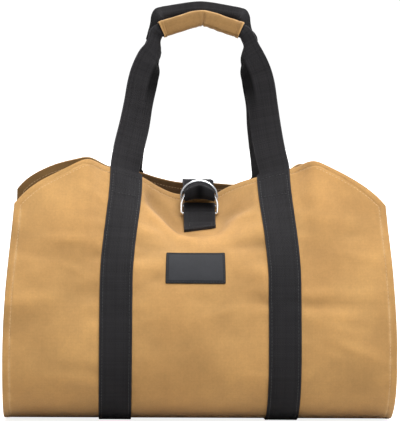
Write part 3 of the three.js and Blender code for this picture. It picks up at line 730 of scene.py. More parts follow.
columns = edged_lines(HALF_WIDTH, COLUMN_SPACING)
rows = np.unique(np.concatenate([edged_lines(HALF_LENGTH, ROW_SPACING), -CUT_ROWS, CUT_ROWS]))
column_grid, row_grid = np.meshgrid(columns, rows)
outer, inner, across, along, distance = canvas_faces(column_grid, row_grid)
up = np.abs(along)
off = np.abs(across)
edge_rub = HEM_EDGE_RUB * (1 - smooth(distance / HEM_EDGE_REACH))
hem_mark = np.maximum(bell(distance - HEM_STITCH, HEM_RUB_WIDTH), edge_rub)
hem_mark = hem_mark * (1 - (1 - TOP_HEM_TONE) * eased(up, *TOP_HEM))
past_ridge, swag_reach = swag(across, along)
# Painted shade in the swag's hollow, left of the closure.
hollow = HOLLOW_PAINTED_SHADE * swag_reach * eased(past_ridge, *HOLLOW_UP)
hollow = hollow * smooth((HOLLOW_RIGHT - across) / HOLLOW_RIGHT_OVER)
# Painted light on the tops of the wings, stronger on the right.
painted_wing_top_light = eased(up, *WING_TOP) * eased(off, *WING_OUT)
painted_wing_top_light = painted_wing_top_light * np.where(across < 0, *WING_TOP_PAINTED_LIGHT)
# Painted light on the inside of the wings near the top, where the inner face is dulled less.
painted_inside_wing_light = eased(off, *INSIDE_WING_OUT)
painted_inside_wing_light = painted_inside_wing_light * eased(up, *INSIDE_WING_UP)
# Painted light and shade: lighter where the folds push the cloth out, darker in their hollows; the inner face
# takes the reverse.
shading_mark = np.clip(CREST_MIDDLE + CREST_SHARE * folds(across, along) - hollow + painted_wing_top_light, 0, 1)
canvas_marks = {
    "hem": (hem_mark, hem_mark * HEM_INSIDE_RUB),
    # Inner face duller than the outer, and painted light on the wings, where it is dulled less.
    "inside": (np.zeros_like(distance), 1 - INSIDE_WING_PAINTED_LIGHT * painted_inside_wing_light),
    "shading_and_rub": (shading_mark, 1 - shading_mark),
}
canvas = skin("canvas", outer, inner, np.stack([across, along], axis=-1), canvas_marks)
CANVAS = canvas_material("canvas_duck")
dress(canvas, CANVAS, "canvas", "canvas_sheet")


# Hem thread: one row of pale lockstitch about 9 mm in from every edge, through the turned-in hem.
# Each stitch is a short round length of thread that dives into the cloth at both ends.
STITCH_AROUND = 6
STITCH_STATIONS = np.array([0.0, 0.14, 0.5, 0.86, 1.0])
STITCH_RISE = np.array([-0.9, 0.15, 0.5, 0.15, -0.9])
STITCH_GIRTH = np.array([0.55, 0.95, 1.0, 0.95, 0.55])
STITCH_PLIES = 2.0
STITCH_TWIST = 5.0
THREAD_TONES = (0.6, 1.1)
THREAD_ROUGHNESS = (0.85, 0.6)
THREAD_RELIEF = (0.5, 0.0001)
HEM_STITCHES = {"pitch": 4.4, "length": 3.4, "radius": 0.42}
HEM_THREAD_LIFT = -0.35
HEM_THREAD_SUNK = 0.1
LONG_SPOTS = 481
WIDE_SPOTS = 241
SHORTEST_RUN = 1e-6
# Colours of the pale thread's plies: the first is painted shade between them, the second painted light on
# their crowns.
PALE_PLIES = ((0.4, 0.24, 0.1, 1), (0.76, 0.52, 0.26, 1))


def run_length(points):
    """Distance run along a line of points: nothing at the first, then the sum of the steps."""
    return running_sum(np.linalg.norm(np.diff(points, axis=0), axis=1))


def stitch_row(path, surface, pitch, length, radius):
    """Stitches along a path on a surface: tubes whose centre follows the surface and dips at both ends.

    path is a list of spots on the surface, which gives points and normals for arrays of spots.
    """
    path = np.asarray(path, float)
    steps = run_length(path)
    starts = np.arange(pitch / 2, steps[-1] - length, pitch)
    stations = starts[:, None] + length * STITCH_STATIONS
    first = np.interp(stations, steps, path[:, 0])
    second = np.interp(stations, steps, path[:, 1])
    points, normals = surface(first, second)
    run = points[:, -1] - points[:, 0]
    run = run / np.linalg.norm(run, axis=-1, keepdims=True)
    side = np.cross(normals, run[:, None])
    centre = points + normals * (STITCH_RISE * radius)[:, None]
    turn = 2 * math.pi * np.arange(STITCH_AROUND) / STITCH_AROUND
    ring = normals[:, :, None] * np.cos(turn)[:, None] + side[:, :, None] * np.sin(turn)[:, None]
    return centre[:, :, None] + ring * (STITCH_GIRTH * radius)[:, None, None]


def thread_piece(name, rows_of_stitches):
    """All stitches of one thread as one mesh: tubes of rings, each end closed by two four-cornered faces."""
    tubes = np.concatenate(rows_of_stitches)
    count, stations, around = tubes.shape[:3]
    ids = np.arange(stations * around).reshape(stations, around)
    nexts = np.roll(ids, -1, axis=1)
    wall = np.stack([ids[:-1], ids[1:], nexts[1:], nexts[:-1]], axis=-1).reshape(-1, 4)
    caps = np.array([[0, 1, 2, 3], [0, 3, 4, 5], [3, 2, 1, 0], [5, 4, 3, 0]])
    caps[2:] += (stations - 1) * around
    single = np.concatenate([wall, caps])
    faces = (single[None] + (np.arange(count) * stations * around)[:, None, None]).reshape(-1, 4)
    girth = np.arange(around) / around
    length = np.arange(stations) / (stations - 1)
    lengths = length[None, :, None] + np.zeros((count, 1, 1))
    uv = np.stack(np.broadcast_arrays(girth[None, None], lengths), axis=-1)
    return solid(name, tubes.reshape(-1, 3) * MM, faces, uv.reshape(-1, 2)[faces.ravel()])


def thread_material(name, dark, light):
    """Twisted thread: slanting bands round the stitch for its plies, painted light on their crowns and
    painted shade between them, slight sheen.
    """
    material, tree, shader = new_material(name, {"Sheen Weight": 0.2, "Specular IOR Level": 0.3})
    place = node(tree, "TexCoord").outputs
    parts = node(tree, "SeparateXYZ", {0: place["UV"]}).outputs
    round_it = calc(tree, "MULTIPLY", parts[0], STITCH_PLIES)
    twist = calc(tree, "MULTIPLY_ADD", parts[1], STITCH_TWIST, round_it)
    ply = calc(tree, "SINE", calc(tree, "MULTIPLY", calc(tree, "FRACT", twist), math.pi))
    use = grouped(tree, HANDLING, {"Vector": place["Object"], "Edge": 0.0})
    # Painted shade between the plies and painted light on their crowns.
    tone = calc(tree, "MULTIPLY", ply, span(tree, use["Smudge"], *THREAD_TONES))
    tree.links.new(blend(tree, tone, dark, light), shader["Base Color"])
    tree.links.new(span(tree, ply, *THREAD_ROUGHNESS), shader["Roughness"])
    relief(tree, shader, *THREAD_RELIEF, ply)
    return material


def on_cloth(lift):
    """Surface that lies a given distance outside the canvas."""
    def surface(across, along):
        out = outward(cloth, across, along)
        return cloth(across, along) + out * lift, out
    return surface


def in_cloth(across, along):
    """Inner face of the hem, with its normals turned to the inside."""
    out = outward(cloth, across, along)
    return cloth(across, along) - out * (CANVAS_WALL + HEM_FOLD - HEM_THREAD_SUNK), -out


def hem_path():
    """Closed line on the sheet at the hem's stitching: the cut edge moved in along its own normal."""
    long_way = np.linspace(-HALF_LENGTH, HALF_LENGTH, LONG_SPOTS)
    wide_way = np.linspace(-HALF_WIDTH, HALF_WIDTH, WIDE_SPOTS)
    right = sheet_spot(np.full(LONG_SPOTS, HALF_WIDTH), long_way)
    rear = sheet_spot(wide_way[::-1], np.full(WIDE_SPOTS, HALF_LENGTH))
    left = sheet_spot(np.full(LONG_SPOTS, -HALF_WIDTH), long_way[::-1])
    front = sheet_spot(wide_way, np.full(WIDE_SPOTS, -HALF_LENGTH))
    edge = np.concatenate([np.stack(part, axis=-1)[:-1] for part in (right, rear, left, front)])
    run = np.roll(edge, -2, axis=0) - np.roll(edge, 2, axis=0)
    run = run / np.maximum(np.linalg.norm(run, axis=1, keepdims=True), SHORTEST_RUN)
    inset = edge + np.stack([-run[:, 1], run[:, 0]], axis=-1) * HEM_STITCH
    return np.concatenate([inset, inset[:1]])


hem_line = hem_path()
hem_thread = thread_piece("hem_thread", [
    stitch_row(hem_line, on_cloth(HEM_THREAD_LIFT), **HEM_STITCHES),
    stitch_row(hem_line, in_cloth, **HEM_STITCHES),
])
PALE_THREAD = thread_material("pale_thread", *PALE_PLIES)
dress(hem_thread, PALE_THREAD, "canvas")


# Carrying webbing, front and rear: one 40 mm band of black woven webbing for each end of the sheet.
# It is sewn flat up the panel, leaves it at the top edge, and folds double on its way to the grip.
WEB_WIDTH = STRAP_OUT - STRAP_IN
WEB_THICK = 1.8
GAP = 0.4
WEB_BEND_LINES = [12.0, 17.5, 22.5, 28.0]
WEB_BEND_REACH = 2.8
HANDLE_SHIFT = 3.5
HANDLE_SHIFT_UP = (290.0, 130.0)
HANDLE_KINK = 1.5
HANDLE_KINK_AT = 474.0
HANDLE_KINK_REACH = 16.0
PANEL_TOP_ROWS = np.array([420.0, 440.0, 460.0, 480.0])
PANEL_ROWS = len(PANEL_TOP_ROWS)
PANEL_STEP = 4.0
BASE_MIDDLE = 1.0
HANDLE_STEP = 2.5
JOINT_EASE = 34.0

# One side of a handle from the panel to its middle, along the webbing's outer edge:
# half width, depth and height, then the section's lead and four bends,
# and the twist that swings the inner edge back, in degrees.
FRONT_HANDLE = np.array([
    [107.5, 47, 342, 0, 0, 0, 0, 0, 15],
    [101.5, 37, 372, 0, 0, 0, 0, 8, 16],
    [97, 32, 398, 0, 0, 0, 2, 18, 16],
    [93, 29, 423, 0, 0, 0, 0, 18, 15],
    [89.6, 27.5, 436, 0, 0, 0, 0, 22, 14],
    [84.5, 26.5, 449, 0, 0, 0, 2, 34, 12],
    [78.3, 24.5, 461, 0, 0, 0, 12, 48, 14],
    [71, 20.5, 472, 0, 0, 14, 34, 52, 18],
    [68, 17.3, 480.8, 0, 4, 90, 90, 4, 16],
    [65, 15.5, 487, 6, 16, 80, 80, 16, 8],
    [61, 14.2, 491.4, 16, 40, 66, 66, 40, 0],
    [54.5, 13.2, 494.8, 20, 50, 60, 60, 50, 0],
    [42, 13.2, 499.2, 20, 50, 60, 60, 50, 0],
    [28, 13.2, 503.8, 20, 50, 60, 60, 50, 0],
    [13.5, 13.2, 508.3, 20, 50, 60, 60, 50, 0],
    [0, 13.2, 510.6, 20, 50, 60, 60, 50, 0],
])
REAR_HANDLE = np.array([
    [106, 47, 342, 0, 0, 0, 0, 0, 15],
    [100, 37, 372, 0, 0, 0, 0, 8, 16],
    [96, 32, 398, 0, 0, 0, 2, 18, 16],
    [91, 29, 423, 0, 0, 0, 0, 22, 15],
    [87, 27.5, 436, 0, 0, 0, 2, 30, 14],
    [81, 26.5, 450, 0, 0, 0, 10, 44, 12],
    [75, 24.5, 463.5, 0, 0, 0, 40, 60, 14],
    [70, 20.5, 476, 0, 4, 40, 84, 34, 20],
    [64.4, 17.5, 488, 0, 4, 90, 90, 4, 26],
    [61.2, 16, 498, 0, 4, 90, 90, 4, 36],
    [59.6, 15, 506.5, 4, 12, 84, 84, 12, 42],
    [56.4, 14, 513, 10, 26, 74, 74, 26, 34],
    [49.5, 13, 516.8, 16, 40, 66, 66, 40, 16],
    [40, 12, 519.3, 20, 50, 60, 60, 50, 4],
    [26, 12, 522, 20, 50, 60, 60, 50, 0],
    [13, 12, 524, 20, 50, 60, 60, 50, 0],
    [0, 12, 525, 20, 50, 60, 60, 50, 0],
])

# Columns of a station: the outer edge's place, the directions inwards and out, lead and bends, and twist.
EDGE = slice(0, 3)
INWARDS = slice(3, 6)
OUT = slice(6, 9)
SECTION = slice(9, 14)
TWIST = slice(14, 15)


def unit(vectors):
    """Vectors brought to length one."""
    return vectors / np.linalg.norm(vectors, axis=-1, keepdims=True)


def square_to(axis, vectors):
    """Vectors with their part along an axis taken out, brought to length one."""
    return unit(vectors - axis * np.sum(vectors * axis, axis=1, keepdims=True))


def spline(knots, values, at):
    """Smooth curve through values at their knots: cubics whose slopes come from the neighbouring values."""
    slopes = np.gradient(values, knots, axis=0)
    k = np.clip(np.searchsorted(knots, at, side="right") - 1, 0, len(knots) - 2)
    gap = (knots[k + 1] - knots[k])[:, None]
    s = ((at - knots[k]) / (knots[k + 1] - knots[k]))[:, None]
    start = (2 * s ** 3 - 3 * s ** 2 + 1) * values[k] + (s ** 3 - 2 * s ** 2 + s) * gap * slopes[k]
    return start + (3 * s ** 2 - 2 * s ** 3) * values[k + 1] + (s ** 3 - s ** 2) * gap * slopes[k + 1]


def handle_stations(side, table):
    """Distances along a handle's outer edge, and its coarse stations there, the panels' tops included.

    On the panel they come from the canvas. On the handle, out faces away from the bag, square to the run
    of the edge, inwards is square to both, and the twist turns the two about the edge.
    """
    width, depth, height = table[:, EDGE].T
    kink = HANDLE_KINK * smooth(1 - np.abs(height - HANDLE_KINK_AT) / HANDLE_KINK_REACH)
    shift = kink + HANDLE_SHIFT * eased(height, *HANDLE_SHIFT_UP)
    along = side * PANEL_TOP_ROWS
    parts = []
    for hand in (-1, 1):
        out = outward(cloth, np.full(PANEL_ROWS, hand * (STRAP_IN + STRAP_OUT) / 2), along)
        edge = cloth(np.full(PANEL_ROWS, hand * STRAP_OUT), along)
        inwards = (cloth(np.full(PANEL_ROWS, hand * STRAP_IN), along) - edge) / WEB_WIDTH
        panel = [edge + out * (GAP + WEB_THICK / 2), inwards, out, np.zeros((PANEL_ROWS, 6))]
        line = np.stack([hand * width + shift, side * depth, height], axis=-1)
        free = [line, np.zeros((len(table), 6)), table[:, 3:]]
        both = np.concatenate([np.concatenate(panel, axis=1), np.concatenate(free, axis=1)])
        parts.append(both if hand < 0 else both[:-1][::-1])
    stations = np.concatenate(parts)
    line = stations[:, EDGE]
    run = unit(np.roll(line, -1, axis=0) - np.roll(line, 1, axis=0))
    out = square_to(run, np.broadcast_to(np.array([0.0, side, 0.0]), run.shape))
    inwards = -side * np.cross(run, out)
    twist = np.radians(stations[:, TWIST])
    free = slice(PANEL_ROWS, -PANEL_ROWS)
    stations[free, INWARDS] = (inwards * np.cos(twist) - out * np.sin(twist))[free]
    stations[free, OUT] = (out * np.cos(twist) + inwards * np.sin(twist))[free]
    return run_length(line), stations


def handle_frames(knots, stations, at):
    """Outer edge, inwards, out and section angles at fine steps: splines, squared up to the edge's own run.

    Near the panels, inwards keeps to the slope of the top edge, so that the webbing leaves without a crease.
    """
    values = spline(knots, stations, at)
    edge = values[:, EDGE]
    run = unit(np.gradient(edge, at, axis=0))
    out = square_to(run, values[:, OUT])
    sewn = unit(values[:, INWARDS])
    inwards = square_to(out, square_to(run, sewn))
    from_panel = np.minimum(at - knots[PANEL_ROWS - 1], knots[-PANEL_ROWS] - at)
    inwards = unit(inwards + (sewn - inwards) * smooth(1 - from_panel / JOINT_EASE)[:, None])
    return edge, inwards, out, values[:, SECTION]


SELVEDGE_LINES = np.array([0, 0.2, 0.6, 1.2, 2.2])
SELVEDGE_INSET = 3.5
SELVEDGE_ROUND = 0.9
SELVEDGE_LEAST = 0.05
SELVEDGE_SWELL = (0.1, 1.4, 0.9)
WEB_LINES = 32
WEB_ACROSS = np.concatenate([
    SELVEDGE_LINES,
    np.linspace(SELVEDGE_INSET, WEB_WIDTH - SELVEDGE_INSET, WEB_LINES),
    (WEB_WIDTH - SELVEDGE_LINES)[::-1],
])
WEB_TO_EDGE = np.minimum(WEB_ACROSS, WEB_WIDTH - WEB_ACROSS)


def web_half_thickness(width):
    """Half the webbing's thickness across it: a flat band with a round selvedge that swells a little."""
    to_edge = WEB_TO_EDGE * width / WEB_WIDTH
    fall = np.sqrt(np.maximum(1 - (1 - np.minimum(to_edge / SELVEDGE_ROUND, 1)) ** 2, SELVEDGE_LEAST))
    swell = mound(to_edge, *SELVEDGE_SWELL)
    return WEB_THICK / 2 * fall * (1 + swell)


def web_section(angles):
    """Middle line of the webbing's section: its direction turns by each bend, eased over the bend line,
    and the line is the running sum of that direction. Gives points and face offsets in (inwards, out).
    """
    turn = angles[:, :1] + np.zeros((1, len(WEB_ACROSS)))
    for line, angle in zip(WEB_BEND_LINES, angles.T[1:]):
        bent = smooth((WEB_ACROSS - line + WEB_BEND_REACH) / (2 * WEB_BEND_REACH))
        turn = turn - angle[:, None] * bent
    turn = np.radians(turn)
    step = np.diff(WEB_ACROSS)
    middle = (turn[:, 1:] + turn[:, :-1]) / 2
    inwards = running_sum(np.cos(middle) * step)
    out = running_sum(np.sin(middle) * step)
    return inwards, out, -np.sin(turn), np.cos(turn)


def webbing_faces(side, table):
    """Two faces of one webbing: a gap above the canvas on the panels, the handle's sections between them."""
    thick = web_half_thickness(WEB_WIDTH)[None, :, None]
    knots, stations = handle_stations(side, table)
    first = knots[PANEL_ROWS - 1]
    last = knots[-PANEL_ROWS]
    count = int((last - first) / HANDLE_STEP)
    at = np.linspace(first, last, count + 1)[1:-1]
    edge, inwards, out, angles = handle_frames(knots, stations, at)
    a, n, face_a, face_n = web_section(angles)
    middle = edge[:, None] + inwards[:, None] * a[..., None] + out[:, None] * n[..., None]
    facing = inwards[:, None] * face_a[..., None] + out[:, None] * face_n[..., None]
    up = np.linspace(BASE_MIDDLE, HALF_LENGTH, int(HALF_LENGTH / PANEL_STEP) + 1)
    across, along = np.meshgrid(STRAP_OUT - WEB_ACROSS, side * up)
    panels = []
    for hand in (-1, 1):
        normal = outward(cloth, hand * across, along)
        panels.append((cloth(hand * across, along) + normal * (GAP + WEB_THICK / 2), normal))
    middle = np.concatenate([panels[0][0], middle, panels[1][0][::-1]])
    facing = np.concatenate([panels[0][1], facing, panels[1][1][::-1]])
    uv = np.stack(np.meshgrid(WEB_ACROSS, run_length(middle[:, 0])), axis=-1)
    return middle + facing * thick, middle - facing * thick, uv


WEB_DARK = (0.0078, 0.0074, 0.0082, 1)
WEB_LIGHT = (0.025, 0.0239, 0.0258, 1)
WEB_RUBBED = (0.05, 0.048, 0.051, 1)
WEB_PAINTED_SHADE = (0.0018, 0.0018, 0.002, 1)
WEB_YARN_SHARE = 0.45
WEB_CLOUD_SHARE = 0.45
WEB_RUB = 0.6
WEB_ROUGHNESS = (0.62, 0.82)
WEB_CROWN_GLOSS = -0.14
WEB_RELIEF = (0.6, 0.0005)
PAINTED_SHADE_ROUGHNESS = 0.98
WEB_TOP_PAINTED_LIGHT = 1.35
WEB_TOP_LIGHT_FROM = 0.15
WEB_TOP_LIGHT_TO = 0.33
WEB_WARP = 0.0016
WEB_WEFT = 0.0011


def webbing_material(name):
    """Black webbing: coarse plain weave, a tone for each yarn, greyer rubbed selvedges, painted light that
    makes it paler higher up, and a near-black painted shade where it folds back below the grips and passes
    through the rings.
    """
    constants = {"Sheen Weight": 0.03, "Sheen Roughness": 0.45, "Specular IOR Level": 0.08}
    material, tree, shader = new_material(name, constants)
    place = node(tree, "TexCoord").outputs
    yarns = {"Vector": place["UV"], "Pitch Across": WEB_WARP, "Pitch Along": WEB_WEFT}
    weave = grouped(tree, PLAIN_WEAVE, yarns)
    use = grouped(tree, HANDLING, {"Vector": place["Object"], "Edge": mark(tree, "selvedge")})
    clouds = calc(tree, "MULTIPLY", use["Cloud"], WEB_CLOUD_SHARE)
    tone = calc(tree, "MULTIPLY_ADD", weave["Yarn Tone"], WEB_YARN_SHARE, clouds)
    colour = blend(tree, tone, WEB_DARK, WEB_LIGHT)
    colour = blend(tree, calc(tree, "MULTIPLY", use["Rubbed"], WEB_RUB), colour, WEB_RUBBED)
    # Painted light: the webbing is made paler with height above the floor.
    height = node(tree, "SeparateXYZ", {0: place["Object"]}).outputs[2]
    rise = {0: height, 1: WEB_TOP_LIGHT_FROM, 2: WEB_TOP_LIGHT_TO, 3: 1.0, 4: WEB_TOP_PAINTED_LIGHT}
    colour = toned(tree, colour, node(tree, "MapRange", rise).outputs[0])
    # Near-black painted shade where the webbing folds back and passes through the rings, with higher
    # roughness there.
    painted_shade = mark(tree, "painted_shade")
    tree.links.new(blend(tree, painted_shade, colour, WEB_PAINTED_SHADE), shader["Base Color"])
    rough = span(tree, use["Smudge"], *WEB_ROUGHNESS)
    rough = calc(tree, "MULTIPLY_ADD", weave["Height"], WEB_CROWN_GLOSS, rough)
    rough = calc(tree, "MAXIMUM", rough, calc(tree, "MULTIPLY", painted_shade, PAINTED_SHADE_ROUGHNESS))
    tree.links.new(rough, shader["Roughness"])
    relief(tree, shader, *WEB_RELIEF, weave["Height"])
    return material


SELVEDGE_RUBBED_TO = (0.4, 1.8)
SELVEDGE_RUB = 1 - eased(WEB_TO_EDGE, *SELVEDGE_RUBBED_TO)
PAINTED_SHADE_SHARE = 0.85
PAINTED_SHADE_STRIP = (WEB_BEND_LINES[-1] - 3.0, 4.0)
PAINTED_SHADE_FROM = 425.0
PAINTED_SHADE_TO = 470.0
PAINTED_SHADE_EDGE = 35.0


def webbing_piece(name, faces):
    """Webbing mesh, its selvedges marked for wear and the strip folded back below the grip marked for painted
    shade.
    """
    outer, inner, uv = faces
    rub = np.broadcast_to(SELVEDGE_RUB, outer.shape[:2])
    strip = eased(WEB_ACROSS, *PAINTED_SHADE_STRIP)
    # Painted shade on the strip folded back below the grip.
    painted_shade = PAINTED_SHADE_SHARE * strip * within(outer[:, :1, 2], PAINTED_SHADE_FROM, PAINTED_SHADE_TO, PAINTED_SHADE_EDGE)
    return skin(name, outer, inner, uv, {"selvedge": (rub * (1 - painted_shade), rub), "painted_shade": (painted_shade, painted_shade)})


WEBBING = webbing_material("black_webbing")
webbing_front = webbing_piece("webbing_front_band", webbing_faces(-1, FRONT_HANDLE))
dress(webbing_front, WEBBING, "webbing", "webbing_front")
webbing_rear = webbing_piece("webbing_rear_band", webbing_faces(1, REAR_HANDLE))
dress(webbing_rear, WEBBING, "webbing", "webbing_rear")


# Webbing thread: black lockstitch along both edges of each webbing, with two rows across below the top edge.
# It goes through the webbing and the canvas, and is modelled on the webbing's face.
SEAM_IN = STRAP_IN + 3.6
SEAM_OUT = STRAP_OUT - 3.6
SEAM_FROM = 6.0
CROSS_ROWS = [441.0, 472.0]
SEAM_STITCHES = {"pitch": 4.2, "length": 3.3, "radius": 0.38}
THREAD_LIFT = 0.05
SEAM_SUNK = 0.65
BASE_TURN_UP = (97.0, 30.0)
# Colours of the dark thread's plies: the first is painted shade between them, the second painted light on
# their crowns.
DARK_PLIES = ((0.008, 0.008, 0.009, 1), (0.04, 0.039, 0.041, 1))


def on_webbing(across, along):
    """Face of the sewn webbing, for its thread. Under the base the thread is pressed flush with it."""
    out = outward(cloth, across, along)
    sunk = SEAM_SUNK * (1 - eased(np.abs(along), *BASE_TURN_UP))
    return cloth(across, along) + out * (GAP + WEB_THICK + THREAD_LIFT - sunk)[..., None], out


seam_rows = []
for side in (-1, 1):
    for hand in (-1, 1):
        for off in (SEAM_IN, SEAM_OUT):
            seam = [(hand * off, side * SEAM_FROM), (hand * off, side * CROSS_ROWS[-1])]
            seam_rows.append(stitch_row(seam, on_webbing, **SEAM_STITCHES))
        for up in CROSS_ROWS:
            bar = [(hand * SEAM_IN, side * up), (hand * SEAM_OUT, side * up)]
            seam_rows.append(stitch_row(bar, on_webbing, **SEAM_STITCHES))
webbing_thread = thread_piece("webbing_thread", seam_rows)
DARK_THREAD = thread_material("dark_thread", *DARK_PLIES)
dress(webbing_thread, DARK_THREAD, "webbing")


# Grip sleeve: a strip of the same canvas wrapped round the folded front handle and lapped in front.
# It kinks where the handle bends in the middle, with creases under the kink.
SLEEVE_REACH = 4
SLEEVE_WALL = 1.2
SLEEVE_HALF_TALL = 9.3
SLEEVE_HALF_DEEP = 7.2
SLEEVE_POWER = 4.2
SLEEVE_DOWN = 8.45
SLEEVE_BACK = 1.15
SLEEVE_ROWS = 150
SLEEVE_AROUND = 96

# Lap: its start along the handle, its start and end round it, and its height.
LAP_ALONG = (4.0, 3.0)
LAP_ROUND = (0.166, 0.012)
LAP_TURN_TO = 0.42
LAP_TURN_EASE = 0.2
LAP_HEIGHT = 0.75

# Creases: place along the handle off its middle, depth and width. They dent the low front side, which is
# a mix of underneath and in front.
SLEEVE_CREASES = [(4.0, 2.6, 2.2), (11.0, 1.0, 3.2), (-6.0, 0.7, 4.0), (23.0, 0.7, 3.0)]
CREASE_UNDER = 0.75
CREASE_FRONT = 0.65
CREASE_SIDE = (-0.45, 1.1)
DEEPEST_INSIDE = -2.6

# Hems at both ends: swell, dip and rounding. Then two fine waves: height, length along and turns round.
SLEEVE_HEM_SWELL = 0.45
SLEEVE_HEM_WIDTH = 6.5
SLEEVE_HEM_OVER = 1.2
SLEEVE_HEM_DIP = (0.35, 6.8, 0.7)
SLEEVE_ROUND_OUTSIDE = 0.8
SLEEVE_ROUND_INSIDE = 0.4
SLEEVE_WAVES = [(0.18, 5.1, 9), (0.14, 2.9, -14)]

front_knots, front_stations = handle_stations(-1, FRONT_HANDLE)
middle_station = len(front_knots) // 2
sleeve_from = front_knots[middle_station - SLEEVE_REACH]
sleeve_to = front_knots[middle_station + SLEEVE_REACH]
sleeve_middle = front_knots[middle_station]


def squared(value, power):
    """Cosine or sine pushed towards a square: its sign times a power of its size."""
    return np.sign(value) * np.abs(value) ** (2 / power)


def sleeve_face(at, turn, grow):
    """Point of the sleeve at a distance along the handle and a turn round it, 0 underneath and 0.25 in front.

    The section is a squared oval. Creases are bells along the handle that dent the front and underside,
    the lap lifts the cloth in front of its edge, and both ends swell where they are hemmed.
    """
    edge, inwards, out, _ = handle_frames(front_knots, front_stations, at)
    beyond = (at - sleeve_middle)[:, None]
    centre = edge + inwards * SLEEVE_DOWN - out * SLEEVE_BACK
    under = np.cos(2 * math.pi * turn)
    facing = np.sin(2 * math.pi * turn)
    lift = np.full((len(at), turn.shape[-1]), grow)
    low_front = eased(CREASE_UNDER * under + CREASE_FRONT * facing, *CREASE_SIDE)
    for where, depth, width in SLEEVE_CREASES:
        lift = lift - depth * bell(beyond - where, width) * low_front
    lapped = eased(beyond, *LAP_ALONG) * eased(turn, *LAP_ROUND)
    lift = lift + LAP_HEIGHT * lapped * smooth((LAP_TURN_TO - turn) / LAP_TURN_EASE)
    to_end = np.minimum(at - sleeve_from, sleeve_to - at)[:, None]
    if grow > 0:
        lift = lift + SLEEVE_HEM_SWELL * smooth((SLEEVE_HEM_WIDTH - to_end) / SLEEVE_HEM_OVER)
        lift = lift - mound(to_end, *SLEEVE_HEM_DIP)
        for height, length, turns in SLEEVE_WAVES:
            lift = lift + height * np.sin(beyond / length + turns * turn)
        lift = lift - rounded(to_end, SLEEVE_ROUND_OUTSIDE)
    else:
        lift = np.maximum(lift, DEEPEST_INSIDE) + rounded(to_end, SLEEVE_ROUND_INSIDE)
    tall = squared(under, SLEEVE_POWER) * (SLEEVE_HALF_TALL + lift)
    deep = squared(facing, SLEEVE_POWER) * (SLEEVE_HALF_DEEP + lift)
    return centre[:, None] + inwards[:, None] * tall[..., None] + out[:, None] * deep[..., None]


# Sleeve marks: rubbed wear at both ends, painted light along the top, and painted shade over the rest of its
# outer face.
SLEEVE_CLOSER_ENDS = 0.6
SLEEVE_END_RUB = 4.0
SLEEVE_TOP = (0.55, 0.35)
SLEEVE_TOP_PAINTED_LIGHT = 0.55
SLEEVE_PAINTED_SHADE = 0.32
SLEEVE_RUB_AND_LIGHT = 0.6

sleeve_ends = 0.5 * (1 - np.cos(np.linspace(0, math.pi, SLEEVE_ROWS)))
sleeve_even = np.linspace(0, 1, SLEEVE_ROWS)
sleeve_shares = SLEEVE_CLOSER_ENDS * sleeve_ends + (1 - SLEEVE_CLOSER_ENDS) * sleeve_even
sleeve_at = sleeve_from + (sleeve_to - sleeve_from) * sleeve_shares
sleeve_turn = (np.arange(SLEEVE_AROUND) / SLEEVE_AROUND)[None]
sleeve_outer = sleeve_face(sleeve_at, sleeve_turn, SLEEVE_WALL)
sleeve_inner = sleeve_face(sleeve_at, sleeve_turn, 0.0)
sleeve_girth = 2 * math.pi * (SLEEVE_HALF_TALL + SLEEVE_HALF_DEEP) / 2
sleeve_uv = np.stack(np.meshgrid(np.linspace(0, sleeve_girth, SLEEVE_AROUND + 1), sleeve_at), axis=-1)
sleeve_edge = np.minimum(sleeve_at - sleeve_from, sleeve_to - sleeve_at)[:, None] + 0 * sleeve_turn
sleeve_painted_top_light = eased(-np.cos(2 * math.pi * sleeve_turn), *SLEEVE_TOP)
sleeve_rub_and_top_light = np.maximum(1 - smooth(sleeve_edge / SLEEVE_END_RUB), SLEEVE_TOP_PAINTED_LIGHT * sleeve_painted_top_light)
# The first mark gives the rubbed ends and the painted light along the top, the second dulls the outer face as
# painted shade, the third lightens the rubbed and lit parts.
sleeve_marks = {
    "hem": (sleeve_rub_and_top_light, np.zeros_like(sleeve_rub_and_top_light)),
    "inside": (SLEEVE_PAINTED_SHADE * (1 - sleeve_rub_and_top_light), np.ones_like(sleeve_rub_and_top_light)),
    "shading_and_rub": (SLEEVE_RUB_AND_LIGHT * sleeve_rub_and_top_light, np.zeros_like(sleeve_rub_and_top_light)),
}
sleeve = skin("grip_wrap", sleeve_outer, sleeve_inner, sleeve_uv, sleeve_marks)
dress(sleeve, CANVAS, "canvas", "grip_sleeve")


# Closure tab: a short length of webbing folded round both rings' bars and sewn to the front panel.
# Its lower end is cut a little on the slant and its layers are closed by a sewn box.
CLOSURE_X = 1.6
TAB_WIDTH = 40.0
TAB_FROM = 409.5
TAB_SEWN_TO = 422.0
TAB_OPEN_FROM = 439.0
TAB_LOOP_AT = 458.0
TAB_BACK = GAP + WEB_THICK / 2
TAB_FRONT = 8.3
TAB_SEWN = 3.25
TAB_SLANT = 5.5
TAB_BACK_SPOTS = 27
TAB_UP_SPOT = 20
TAB_LOOP_SPOTS = 25
TAB_FRONT_SPOTS = 40
TAB_PINCH = (0.9, TAB_OPEN_FROM + 4.0, 2.5)
END_RUB = 1.6
BAND_SHARE = (WEB_ACROSS / WEB_WIDTH - 0.5) * 2


